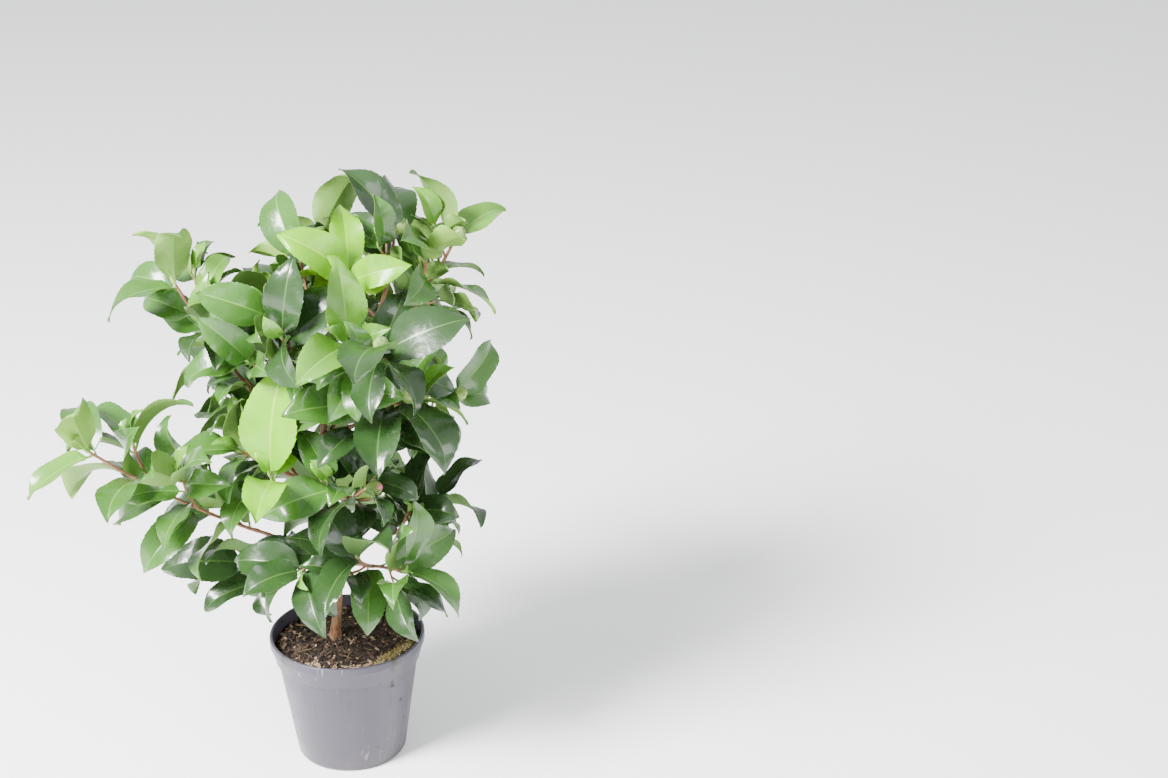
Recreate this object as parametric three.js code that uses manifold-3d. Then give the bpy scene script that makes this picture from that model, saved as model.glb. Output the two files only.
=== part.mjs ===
// A young camellia shrub in its round nursery pot, in millimetres, +Z up.
// The origin is the centre of the pot's flat underside, and -Y is the side that the plant is seen from.
// The shrub is a short trunk, tapering boughs, and one mass of twigs, leaves and buds at the end of each.
import * as THREE from "three";
import { mergeVertices } from "three/addons/utils/BufferGeometryUtils.js";
import Module from "manifold-3d";

const wasm = await Module();
wasm.setup();

// Driving dimensions
const GAP = 0.3;
const POT = { height: 127, rimRadius: 75, baseRadius: 53, wall: 1.8, floor: 2.4, sides: 32 };
const SOIL_TOP = 113;
const TRUNK = {
  foot: [-14, 10],
  fork: [-8, 10],
  forkHeight: 380,
  footRadius: 4.8,
  forkRadius: 3.6,
  flare: 2.6,
};
const LIMB = { step: 9, rootRadius: 2.6, sideRadius: 1.85, tipRadius: 1.8 };
const TWIG = { internode: 20, turn: 137.5, radius: 1.6, tipRadius: 1.4, every: 45, length: 44, angle: 46 };
const LEAF = { shortest: 52, longest: 76, narrowest: 0.5, broadest: 0.6, petiole: 7, thickness: 1.2 };
const BUD = { radius: 6.4, length: 15 };
const DEGREE = Math.PI / 180;

// Each limb leaves the trunk, or the limb in on, at a height and a heading.
// A heading of 0 is to the right, 90 to the back, 180 to the left and 270 towards the viewer.
// Its rise goes from the first angle to the second, and the bare share of its length is the bough.
// size scales its leaves, buds is how many it carries, and a young limb has small, soft leaves.
const planned = (name, height, heading, rise, length, bare, size, seed, more = {}) => {
  return { name, height, heading, rise, length, bare, size, seed, ...more };
};
const LIMBS = [
  planned("low_left", 209, 199, [23, 42], 263, 0.3, 1.02, 319),
  planned("skirt_left", 191, 163, [-4, -7], 96, 0.42, 1.1, 525),
  planned("mid_left", 292, 189, [52, 64], 231, 0.32, 0.92, 700),
  planned("fan_left", 278, 210, [31, 39], 102, 0.4, 0.96, 127),
  planned("front_left", 267, 238, [8, 66], 96, 0.6, 1.4, 926, { young: true }),
  planned("low_right", 215, 353, [7, 53], 117, 0.36, 1.02, 38),
  planned("mid_right", 292, 6, [26, 38], 146, 0.34, 0.9, 603, { buds: 1 }),
  planned("low_front", 219, 258, [16, 4], 88, 0.4, 0.96, 970),
  planned("low_front_right", 198, 312, [20, 14], 112, 0.4, 1.1, 731),
  planned("mid_front", 272, 301, [11, 42], 99, 0.36, 1, 330, { buds: 1 }),
  planned("front_right", 332, 316, [25, 42], 133, 0.36, 1.08, 709, { buds: 1 }),
  planned("low_back", 215, 97, [2, 23], 138, 0.34, 1.1, 111),
  planned("mid_back", 280, 117, [30, 52], 137, 0.34, 0.98, 378, { buds: 1 }),
  planned("back_right", 322, 56, [39, 48], 166, 0.34, 1.1, 435, { buds: 1 }),
  planned("back_left", 259, 138, [18, 50], 153, 0.34, 1.08, 310),
  planned("high_left", 369, 211, [31, 40], 86, 0.34, 0.9, 686),
  planned("leader_left", 380, 182, [81, 82], 125, 0.56, 1.1, 416, { fork: true }),
  planned("leader_right", 380, 349, [46, 87], 170, 0.6, 1.1, 405, { fork: true, buds: 2 }),
  planned("upper_left", 424, 164, [21, 72], 67, 0.3, 0.98, 520, { on: "leader_left" }),
  planned("upper_front", 403, 249, [22, 52], 88, 0.32, 1.04, 194, { on: "leader_left" }),
  planned("upper_back", 416, 94, [29, 65], 116, 0.32, 1.08, 764, { on: "leader_left" }),
  planned("bright_front", 454, 244, [33, 72], 69, 0.5, 1, 132, { on: "leader_right", young: true }),
  planned("upper_right", 430, 13, [29, 67], 125, 0.32, 0.96, 318, { on: "leader_right", buds: 2 }),
  planned("upper_front_right", 416, 288, [7, 39], 124, 0.32, 1.1, 716, { on: "leader_right", buds: 1 }),
];

// A seeded generator of even numbers from 0 to 1, the same each run.
function seeded(seed) {
  let state = seed >>> 0;
  return () => {
    state = (state + 0x6d2b79f5) >>> 0;
    let t = state;
    t = Math.imul(t ^ (t >>> 15), t | 1);
    t ^= t + Math.imul(t ^ (t >>> 7), t | 61);
    return ((t ^ (t >>> 14)) >>> 0) / 4294967296;
  };
}

function vector(x, y, z) {
  return new THREE.Vector3(x, y, z);
}

function towards(heading, rise) {
  const a = heading * DEGREE;
  const r = rise * DEGREE;
  return vector(Math.cos(a) * Math.cos(r), Math.sin(a) * Math.cos(r), Math.sin(r));
}

function levelSide(heading) {
  return vector(Math.sin(heading * DEGREE), -Math.cos(heading * DEGREE), 0);
}

// The part of v at right angles to unit vector d, at unit length.
function across(v, d) {
  return v.clone().addScaledVector(d, -v.dot(d)).normalize();
}

function turnedAbout(v, other, angle) {
  return v.clone().multiplyScalar(Math.cos(angle)).addScaledVector(other, Math.sin(angle));
}

// A closed solid from a geometry whose only sharing is by position.
function solid(geometry) {
  geometry.deleteAttribute("normal");
  geometry.deleteAttribute("uv");
  const merged = mergeVertices(geometry, 1e-4);
  return new wasm.Manifold(
    new wasm.Mesh({
      numProp: 3,
      vertProperties: merged.attributes.position.array,
      triVerts: new Uint32Array(merged.index.array),
    }),
  );
}

function mesh(name, body, material) {
  const made = body.getMesh();
  const geometry = new THREE.BufferGeometry();
  geometry.setAttribute("position", new THREE.BufferAttribute(made.vertProperties, 3));
  geometry.setIndex(new THREE.BufferAttribute(made.triVerts, 1));
  geometry.computeVertexNormals();
  const result = new THREE.Mesh(geometry, material);
  result.name = name;
  return result;
}

// A cylinder or cone with its vertices moved to place(row, angle, share of the radius).
function formed(sides, rows, pointed, place) {
  const geometry = new THREE.CylinderGeometry(pointed ? 0 : 1, 1, 1, sides, rows);
  const position = geometry.attributes.position;
  for (let i = 0; i < position.count; i++) {
    const row = Math.round((position.getY(i) + 0.5) * rows);
    const x = position.getX(i);
    const z = position.getZ(i);
    const full = pointed ? Math.max(1 - row / rows, 1e-9) : 1;
    const p = place(row, Math.atan2(x, z), Math.min(Math.hypot(x, z) / full, 1));
    position.setXYZ(i, p.x, p.y, p.z);
  }
  return solid(geometry);
}

// A tapering round limb along a row of points. Its side vector keeps the section from turning, and its
// first section is square to lead, so that it lies flat against the end of the limb before it.
function limbSolid(points, side, rootRadius, tipRadius, sides, lead) {
  const rows = points.length - 1;
  return formed(sides, rows, false, (row, angle, share) => {
    const chord = points[Math.min(row + 1, rows)].clone().sub(points[Math.max(row - 1, 0)]).normalize();
    const tangent = row === 0 && lead ? lead : chord;
    const right = across(side, tangent);
    const up = right.clone().cross(tangent);
    const r = (rootRadius + ((tipRadius - rootRadius) * row) / rows) * share;
    return points[row].clone().addScaledVector(turnedAbout(up, right, angle), r);
  });
}

// The trunk's centre line: a slight sway between its foot and its fork.
const TRUNK_SWAY = 5;
function trunkPoint(z) {
  const t = (z - SOIL_TOP) / (TRUNK.forkHeight - SOIL_TOP);
  return vector(
    TRUNK.foot[0] + (TRUNK.fork[0] - TRUNK.foot[0]) * t + TRUNK_SWAY * Math.sin(t * Math.PI * 2),
    TRUNK.foot[1] + (TRUNK.fork[1] - TRUNK.foot[1]) * t - TRUNK_SWAY * Math.sin(t * Math.PI),
    z,
  );
}

function trunkRadius(z) {
  const t = (z - SOIL_TOP) / (TRUNK.forkHeight - SOIL_TOP);
  const taper = (TRUNK.forkRadius - TRUNK.footRadius) * t;
  return TRUNK.footRadius + taper + TRUNK.flare * Math.exp(-(z - SOIL_TOP) / 7);
}

// The trunk's sections are level, so that its foot is a flat cut just above the compost.
function trunkSolid(grow) {
  const rows = 12;
  const foot = SOIL_TOP + GAP;
  return formed(8, rows, false, (row, angle, share) => {
    const z = foot + (TRUNK.forkHeight - foot) * (row / rows) ** 1.5;
    const r = (trunkRadius(z) + grow) * share;
    return trunkPoint(z).add(vector(r * Math.sin(angle), -r * Math.cos(angle), 0));
  });
}

// The point at a height on the trunk's centre line or on an earlier limb's.
function rootPoint(limb, earlier) {
  if (limb.fork) return trunkPoint(TRUNK.forkHeight);
  if (!limb.on) return trunkPoint(limb.height);
  const path = earlier.find((other) => other.name === limb.on).path;
  const i = path.findIndex((p) => p.z > limb.height);
  const share = (limb.height - path[i - 1].z) / (path[i].z - path[i - 1].z);
  return path[i - 1].clone().lerp(path[i], share);
}

// A limb's centre line from its root in equal steps, with a slight zigzag at the joints.
const ZIGZAG = 7;
function limbPath(limb, earlier) {
  const count = Math.round(limb.length / LIMB.step);
  const points = [rootPoint(limb, earlier)];
  for (let i = 0; i < count; i++) {
    const rise = limb.rise[0] + ((limb.rise[1] - limb.rise[0]) * i) / count;
    const kink = ZIGZAG * Math.sin(i * 1.7 + limb.seed);
    points.push(points[i].clone().addScaledVector(towards(limb.heading + kink, rise), LIMB.step));
  }
  return points;
}

// Room: each limb or leaf placed so far, as points with a ball round them all.
const placed = [];
function occupy(owner, points, clearance) {
  const centre = points.reduce((sum, p) => sum.add(p), vector(0, 0, 0)).multiplyScalar(1 / points.length);
  const radius = Math.max(...points.map((p) => p.distanceTo(centre)));
  placed.push({ owner, points, clearance, centre, radius });
}

// A line's points and the points halfway between them.
function halved(points) {
  return points.flatMap((p, i) => (i ? [points[i - 1].clone().lerp(p, 0.5), p] : [p]));
}

// Leaves of the same mass may be closer together than leaves of two masses.
const OWN_SHARE = 0.85;
function blocked(owner, points, ownShare = OWN_SHARE) {
  const centre = points.reduce((sum, p) => sum.add(p), vector(0, 0, 0)).multiplyScalar(1 / points.length);
  const radius = Math.max(...points.map((p) => p.distanceTo(centre)));
  return placed.some((other) => {
    const clearance = other.owner === owner ? other.clearance * ownShare : other.clearance;
    if (other.centre.distanceTo(centre) > other.radius + radius + clearance) return false;
    return points.some((p) => other.points.some((q) => p.distanceToSquared(q) < clearance * clearance));
  });
}

// A side twig leaves its stem at an angle and rises a little more with each step.
function sideTwig(limb, stem, k, random) {
  const at = Math.round((14 + k * TWIG.every) / LIMB.step);
  const way = limb.heading + (k % 2 ? 1 : -1) * (TWIG.angle + 14 * random());
  const steps = Math.round((TWIG.length * (0.75 + 0.5 * random())) / LIMB.step);
  const tangent = stem[at + 1].clone().sub(stem[at]).normalize();
  const rise = Math.asin(tangent.z) / DEGREE + 10;
  const points = [stem[at]];
  for (let i = 0; i < steps; i++)
    points.push(points[i].clone().addScaledVector(towards(way, Math.min(rise + 5 * i, 80)), LIMB.step));
  const size = limb.size * 0.94;
  return { points, side: levelSide(way), rootRadius: TWIG.radius, bare: 14, size, phase: 360 * random() };
}

// A mass of foliage is the stem that goes on from the bough, and the side twigs from it that find room.
const LIMB_CLEARANCE = 5.2;
const LOWEST_LEAF = POT.height - 4;
function growTwigs(limb, stem) {
  const random = seeded(limb.seed * 7919);
  const side = levelSide(limb.heading);
  const lead = endOf(limb.bough);
  const own = { points: stem, side, lead, rootRadius: LIMB.tipRadius, bare: 6, size: limb.size };
  const twigs = [{ ...own, phase: 360 * random() }];
  const count = Math.floor((LIMB.step * (stem.length - 1) - 12) / TWIG.every);
  for (let k = 0; k < count; k++) {
    const twig = sideTwig(limb, stem, k, random);
    if (blocked(limb.name, twig.points.slice(3)) || twig.points.at(-1).z < LOWEST_LEAF) continue;
    occupy(limb.name, halved(twig.points.slice(1)), LIMB_CLEARANCE);
    twigs.push(twig);
  }
  return twigs;
}

// Where a twig's leaves sit: in a spiral along it, and a cluster of three at its tip.
function leafSites(limb, twig) {
  const { points, bare, size, phase } = twig;
  const nodes = Math.max(Math.floor((LIMB.step * (points.length - 1) - bare) / TWIG.internode), 0);
  const sites = [];
  const ahead = points.at(-1).clone().sub(points.at(-2)).normalize();
  for (let k = 0; k < 3; k++) {
    const node = points.at(-1).clone().addScaledVector(ahead, -0.5 - 3.5 * k);
    const turn = phase + (nodes + k) * TWIG.turn;
    sites.push({ limb, size, node, ahead, turn, angle: 28 + 14 * k, rank: k });
  }
  for (let k = 0; k < nodes; k++) {
    const at = Math.min(Math.round((bare + k * TWIG.internode) / LIMB.step), points.length - 2);
    const tangent = points[at + 1].clone().sub(points[at]).normalize();
    const turn = phase + k * TWIG.turn;
    sites.push({ limb, size, node: points[at], ahead: tangent, turn, angle: 58, rank: 2 + nodes - k });
  }
  return sites;
}

// A leaf's blade is bent along its length, folded along its midrib and cupped.
const WIDEST_AT = 0.44;
const BASE_FULLNESS = 0.58;
function leafHalfWidth(leaf, u) {
  const tipFullness = (BASE_FULLNESS * (1 - WIDEST_AT)) / WIDEST_AT;
  if (u <= 0 || u >= 1) return 0;
  return (leaf.width / 2) * (u / WIDEST_AT) ** BASE_FULLNESS * ((1 - u) / (1 - WIDEST_AT)) ** tipFullness;
}

// A point of a leaf: along from 0 at the twig to 1 at the tip, and side from -1 to 1 across the blade.
function leafPoint(leaf, along, side) {
  const mm = along * (LEAF.petiole + leaf.length);
  const u = Math.max((mm - LEAF.petiole) / leaf.length, 0);
  const bend = leaf.bend * u;
  const radius = leaf.length / leaf.bend;
  const reach = Math.min(mm, LEAF.petiole) + radius * Math.sin(bend);
  const drop = radius * (1 - Math.cos(bend)) + leaf.curl * leaf.length * u ** 4;
  const half = leafHalfWidth(leaf, u);
  const lift = half * Math.abs(side) * (1 - 0.25 * Math.abs(side)) * Math.sin(leaf.fold);
  return leaf.root
    .clone()
    .addScaledVector(leaf.direction, reach)
    .addScaledVector(leaf.normal, -drop)
    .addScaledVector(leaf.right, half * side * Math.cos(leaf.fold))
    .addScaledVector(turnedAbout(leaf.normal, leaf.direction, bend), lift);
}

// The blade as points close enough together that two blades can't cross between them.
const LATTICE = { rows: 12, columns: 4, from: 0.22 };
function leafLattice(leaf) {
  const points = [];
  for (let i = 0; i <= LATTICE.rows; i++)
    for (let j = -LATTICE.columns; j <= LATTICE.columns; j++) {
      const along = LATTICE.from + ((1 - LATTICE.from) * i) / LATTICE.rows;
      points.push(leafPoint(leaf, along, j / LATTICE.columns));
    }
  return points;
}

// A leaf at its site. Its face turns to the light above and outside the crown, and it is tried at a few
// turns about the twig. Where none of them is free there is no leaf.
const TRIES = [0, 24, -24, 50, -50, 80, -80, 115, -115, 150];
const LEAF_CLEARANCE = 6.4;
const REACH = 106;
const SKY = vector(0, 0, 1);
// A stalk below its twig twists up to the light, which halves its slope.
const UPTURN = 0.5;
function placeLeaf(site, index) {
  const { limb, node, ahead, turn, angle, size } = site;
  const random = seeded(limb.seed * 65537 + index * 257);
  const length = (LEAF.shortest + (LEAF.longest - LEAF.shortest) * random()) * size;
  const roll = (random() - 0.5) * 40 * DEGREE;
  const droop = 0.3 - 0.5 * random();
  const shape = {
    length,
    width: length * (LEAF.narrowest + (LEAF.broadest - LEAF.narrowest) * random()),
    bend: (limb.young ? 0.3 : 0.45) + 0.5 * random(),
    curl: 0.04 + 0.08 * random(),
    fold: (14 + 18 * random()) * DEGREE,
    young: limb.young,
    root: node,
  };
  const side = across(vector(ahead.y, -ahead.x, 0.01), ahead);
  const up = side.clone().cross(ahead);
  const light = across(vector(node.x, node.y, 0), SKY)
    .multiplyScalar(0.55)
    .addScaledVector(SKY, 0.75)
    .addScaledVector(towards(360 * random(), 0), 0.6);
  for (const extra of TRIES) {
    const out = turnedAbout(side, up, (turn + extra) * DEGREE);
    const direction = turnedAbout(ahead, out, angle * DEGREE).addScaledVector(SKY, droop);
    if (direction.z < 0) direction.z *= UPTURN;
    direction.normalize();
    const normal = across(light, direction).applyAxisAngle(direction, roll);
    const leaf = { ...shape, direction, normal, right: direction.clone().cross(normal) };
    const points = leafLattice(leaf);
    if (points.some((p) => p.z < LOWEST_LEAF || p.distanceTo(limb.stem.at(-1)) > limb.reach)) continue;
    if (blocked(limb.name, points)) continue;
    occupy(limb.name, points, LEAF_CLEARANCE);
    return leaf;
  }
  return null;
}

// A flower bud sits beside the tip of its twig and is placed before the leaves, at the first turn about the
// twig where its skin is clear of the other limbs.
const BUD_ANGLE = 34;
const BUD_TURNS = [0, 60, -60, 120, -120, 180];
function budRing(bud, radius, count) {
  const up = bud.right.clone().cross(bud.direction);
  return [0.4, 0.8, 1.2].flatMap((t) =>
    Array.from({ length: count }, (_, i) =>
      bud.root
        .clone()
        .addScaledVector(bud.direction, t * BUD.length)
        .addScaledVector(turnedAbout(up, bud.right, (i / count) * 2 * Math.PI), radius),
    ),
  );
}

function placeBud(limb, k) {
  const twig = limb.twigs[k % limb.twigs.length];
  const root = twig.points.at(-1);
  const ahead = root.clone().sub(twig.points.at(-2)).normalize();
  const side = across(vector(ahead.y, -ahead.x, 0.01), ahead);
  for (const turn of BUD_TURNS) {
    const out = turnedAbout(side, side.clone().cross(ahead), (limb.seed * 77 + k * 180 + turn) * DEGREE);
    const direction = turnedAbout(ahead, out, BUD_ANGLE * DEGREE);
    const bud = { root, direction, right: across(SKY, direction) };
    if (blocked(limb.name, budRing(bud, BUD.radius, 8), 0)) continue;
    occupy(limb.name, budRing(bud, 0, 1), BUD.radius + 2.5);
    return bud;
  }
  return null;
}

const BUD_PROFILE = [1.4, 1.5, 6.0, 6.2, 3.4, 0];
const BUD_ALONG = [0, 0.2, 0.42, 0.75, 1.05, 1.2];
function budSolid(bud) {
  const up = bud.right.clone().cross(bud.direction);
  return formed(5, BUD_ALONG.length - 1, true, (row, angle, share) =>
    bud.root
      .clone()
      .addScaledVector(bud.direction, BUD_ALONG[row] * BUD.length)
      .addScaledVector(turnedAbout(up, bud.right, angle), BUD_PROFILE[row] * share),
  );
}

// The leaf as a four-sided cone pressed flat: margins, midrib above and midrib below.
const LEAF_ROWS = [0, 0.1, 0.36, 0.7, 1];
const STALK_RADIUS = 0.9;
function leafSolid(leaf) {
  return formed(4, LEAF_ROWS.length - 1, true, (row, angle, share) => {
    const along = LEAF_ROWS[row];
    const side = Math.round(Math.sin(angle)) * share;
    const above = Math.round(Math.cos(angle)) * share;
    const stalk = row < 2 ? STALK_RADIUS : 0;
    return leafPoint(leaf, along, side)
      .addScaledVector(leaf.right, side * stalk)
      .addScaledVector(leaf.normal, above * Math.max(LEAF.thickness / 2, stalk));
  });
}

// Every other point of a line, and its last.
function spaced(points) {
  return points.filter((p, i, all) => i % 2 === 0 || i === all.length - 1);
}

// The direction in which a spaced line ends.
function endOf(points) {
  const line = spaced(points);
  return line.at(-1).clone().sub(line.at(-2)).normalize();
}

function twigSolid(twig) {
  return limbSolid(spaced(twig.points), twig.side, twig.rootRadius, TWIG.tipRadius, 4, twig.lead);
}

function massSolid(mass) {
  const parts = [...mass.twigs.map(twigSolid), ...mass.buds.map(budSolid), ...mass.leaves.map(leafSolid)];
  return parts.reduce((whole, piece) => whole.add(piece));
}

// The pot: a turned cup with a collar and a lip, closed on its axis, with drain holes through its floor.
const COLLAR = { height: 26, step: 2.4, lip: 8, lipProud: 1.2 };
const DRAIN = { count: 6, radius: 5, circle: 38 };
function potOuter() {
  const taper = (POT.rimRadius - COLLAR.lipProud - COLLAR.step - POT.baseRadius) / (POT.height - 3);
  const at = (z) => POT.baseRadius + taper * (z - 3);
  const step = POT.height - COLLAR.height;
  const lip = POT.height - COLLAR.lip;
  return [
    [POT.baseRadius - 2, 0],
    [POT.baseRadius, 3],
    [at(step), step],
    [at(step) + COLLAR.step, step + 2],
    [POT.rimRadius - COLLAR.lipProud, lip - 1],
    [POT.rimRadius, lip],
    [POT.rimRadius, POT.height - 1],
    [POT.rimRadius - 0.8, POT.height],
  ];
}

function potInner(clear) {
  const outer = potOuter();
  const wall = POT.wall + clear;
  return [
    [POT.rimRadius - COLLAR.lipProud - wall, POT.height],
    [outer[3][0] - wall + 0.4, outer[3][1]],
    [outer[2][0] - wall, outer[2][1] - 2],
    [outer[1][0] - wall, POT.floor + clear],
  ];
}

function turned(profile) {
  const points = profile.map(([r, z]) => new THREE.Vector2(r, z));
  return solid(new THREE.LatheGeometry(points, POT.sides).rotateX(Math.PI / 2));
}

function potSolid() {
  let body = turned([[0, 0], ...potOuter(), ...potInner(0), [0, POT.floor]]);
  for (let i = 0; i < DRAIN.count; i++) {
    const a = (i / DRAIN.count) * 2 * Math.PI;
    const drill = new THREE.CylinderGeometry(DRAIN.radius, DRAIN.radius, 12, 10)
      .rotateX(Math.PI / 2)
      .translate(DRAIN.circle * Math.cos(a), DRAIN.circle * Math.sin(a), 0);
    body = body.subtract(solid(drill));
  }
  return body;
}

// The compost fills the pot to just under its rim and is a little higher towards its edge.
function soilSolid() {
  const inner = potInner(GAP);
  const share = (SOIL_TOP - inner[1][1]) / (POT.height - inner[1][1]);
  const edge = inner[1][0] + (inner[0][0] - inner[1][0]) * share;
  return turned([
    [0, POT.floor + GAP],
    [inner[3][0], POT.floor + GAP],
    [inner[2][0], inner[2][1]],
    [inner[1][0], inner[1][1]],
    [edge, SOIL_TOP - 1],
    [52, SOIL_TOP + 2],
    [30, SOIL_TOP],
    [0, SOIL_TOP],
  ]);
}

const paint = (color, roughness) => new THREE.MeshStandardMaterial({ color, roughness, metalness: 0 });
const MATERIALS = {
  pot: paint("#8f8b96", 0.45),
  soil: paint("#3b2a1e", 0.95),
  bark: paint("#8a5a3c", 0.8),
  leaf: paint("#2f5e2a", 0.35),
  young: paint("#8cc63a", 0.35),
};

// The boughs and stems are all laid out first, then the side twigs, then the leaves from the tips inwards.
function growShrub(table) {
  const trunkLine = [];
  for (let z = SOIL_TOP; z < TRUNK.forkHeight; z += 4) trunkLine.push(trunkPoint(z));
  placed.length = 0;
  occupy("trunk", trunkLine, LIMB_CLEARANCE + 3);
  const limbs = [];
  for (const given of table) {
    const path = limbPath(given, limbs);
    const bare = Math.round((path.length - 1) * given.bare);
    const bough = path.slice(0, bare + 1);
    const stem = path.slice(bare);
    stem[0] = stem[0].clone().addScaledVector(endOf(bough), GAP);
    const limb = { ...given, path, bough, stem, leaves: [] };
    limb.reach = REACH + LIMB.step * (stem.length - 1);
    limbs.push(limb);
    occupy(limb.name, halved(path.slice(1)), LIMB_CLEARANCE);
  }
  for (const limb of limbs) {
    limb.twigs = growTwigs(limb, limb.stem);
    limb.buds = Array.from({ length: limb.buds ?? 0 }, (_, k) => placeBud(limb, k)).filter(Boolean);
  }
  const sites = limbs.flatMap((limb) =>
    limb.twigs.flatMap((twig) => leafSites(limb, twig)).map((site, index) => ({ ...site, index })),
  );
  sites.sort((a, b) => a.rank - b.rank || a.limb.seed - b.limb.seed || a.index - b.index);
  for (const site of sites) {
    const leaf = placeLeaf(site, site.index);
    if (leaf) site.limb.leaves.push(leaf);
  }
  return limbs;
}

function boughSolid(limb, grow) {
  const own = limb.on ? LIMB.sideRadius : LIMB.rootRadius;
  const root = (limb.fork ? TRUNK.forkRadius - 0.4 : own) + grow;
  return limbSolid(spaced(limb.bough), levelSide(limb.heading), root, LIMB.tipRadius + grow, 6);
}

const shrub = new THREE.Group();
shrub.add(mesh("pot", potSolid(), MATERIALS.pot));
shrub.add(mesh("compost", soilSolid(), MATERIALS.soil));
shrub.add(mesh("trunk", trunkSolid(0), MATERIALS.bark));

// A bough is cut 0.3 mm clear of the trunk or limb that it grows from, and one of the fork's two leaders
// of the other.
// Edges that the cut leaves shorter than a sliver are closed up.
const SLIVER = 0.06;
const limbs = growShrub(LIMBS);
for (const limb of limbs) {
  const parent = limbs.find((other) => other.name === limb.on);
  const twin = limbs.find((other) => limb.fork && other.fork && other !== limb);
  let bough = boughSolid(limb, 0).subtract(parent ? boughSolid(parent, GAP) : trunkSolid(GAP));
  if (twin && limbs.indexOf(limb) > limbs.indexOf(twin)) bough = bough.subtract(boughSolid(twin, GAP));
  shrub.add(mesh(`bough_${limb.name}`, bough.simplify(SLIVER), MATERIALS.bark));
  shrub.add(mesh(`leaves_${limb.name}`, massSolid(limb), limb.young ? MATERIALS.young : MATERIALS.leaf));
}

export default shrub;
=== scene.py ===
# A young camellia shrub, about 60 cm tall, in its round 15 cm nursery pot.
# +Z is up, and -Y is the side that the plant is seen from. Sizes are in millimetres and meshes in metres.
import math
from types import SimpleNamespace

import bmesh
import bpy
import numpy as np
from mathutils import Euler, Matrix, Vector, noise


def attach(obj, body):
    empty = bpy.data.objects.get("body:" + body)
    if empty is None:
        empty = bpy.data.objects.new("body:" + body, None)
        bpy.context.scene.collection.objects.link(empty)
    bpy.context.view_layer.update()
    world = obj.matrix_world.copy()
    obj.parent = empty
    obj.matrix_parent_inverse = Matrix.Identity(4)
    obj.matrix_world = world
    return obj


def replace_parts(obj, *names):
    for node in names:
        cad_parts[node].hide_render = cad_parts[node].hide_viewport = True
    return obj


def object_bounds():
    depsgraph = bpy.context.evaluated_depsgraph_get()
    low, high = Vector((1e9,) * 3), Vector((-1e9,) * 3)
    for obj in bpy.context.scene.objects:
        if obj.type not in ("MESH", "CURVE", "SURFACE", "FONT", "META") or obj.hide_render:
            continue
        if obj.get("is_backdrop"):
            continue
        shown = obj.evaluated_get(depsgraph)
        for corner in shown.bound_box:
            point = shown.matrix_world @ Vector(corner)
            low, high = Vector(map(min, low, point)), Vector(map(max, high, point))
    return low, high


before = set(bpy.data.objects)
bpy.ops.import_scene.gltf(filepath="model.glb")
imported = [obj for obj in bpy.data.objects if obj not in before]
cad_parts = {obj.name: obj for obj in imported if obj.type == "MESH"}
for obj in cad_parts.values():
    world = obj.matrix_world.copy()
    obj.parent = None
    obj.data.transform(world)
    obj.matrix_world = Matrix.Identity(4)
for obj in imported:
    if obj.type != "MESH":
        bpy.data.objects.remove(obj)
solids_box = [list(corner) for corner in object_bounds()]

# The pot
# A round nursery pot of grey-mauve polypropylene, injection moulded in one piece, 15 cm across its rim.
# Its thin wall tapers from a low collar under a rounded lip to a flat foot with six drain holes.
MM = 0.001
DEGREE = math.pi / 180
POT_HEIGHT = 127
POT_RIM_RADIUS = 75
POT_BASE_RADIUS = 53
POT_WALL = 1.8
POT_FLOOR = 2.4
POT_STEPS = 128
FOOT_INSET = 2
FOOT_EDGE = 3
COLLAR_HEIGHT = 26
COLLAR_STEP = 2.4
COLLAR_SLOPE = 2
COLLAR_THINNING = 0.4
LIP_HEIGHT = 8
LIP_PROUD = 1.2
LIP_EDGE = 1
EDGE_ROUNDING = 0.55
ROUNDED_ABOVE = 12
DRAIN_COUNT = 6
DRAIN_RADIUS = 5
DRAIN_CIRCLE = 38
DRAIN_SIDES = 24
DRILL_LENGTH = 12
DRIPS = ((-48, 104), (-138, 110))
DRIP_RADIUS = 4
DRIP_FADE = 6


class Amount:
    """A number that varies over a surface. Sums and products of amounts add Math nodes."""

    def __init__(self, finish, socket):
        self.finish = finish
        self.socket = socket

    def maths(self, operation, first, second):
        made = self.finish.node("ShaderNodeMath", {"operation": operation}, {0: first, 1: second})
        return Amount(self.finish, made.outputs[0])

    def __add__(self, other):
        return self.maths("ADD", self, other)

    def __sub__(self, other):
        return self.maths("SUBTRACT", self, other)

    def __rsub__(self, other):
        return self.maths("SUBTRACT", other, self)

    def __mul__(self, other):
        return self.maths("MULTIPLY", self, other)

    __radd__ = __add__
    __rmul__ = __mul__


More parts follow.
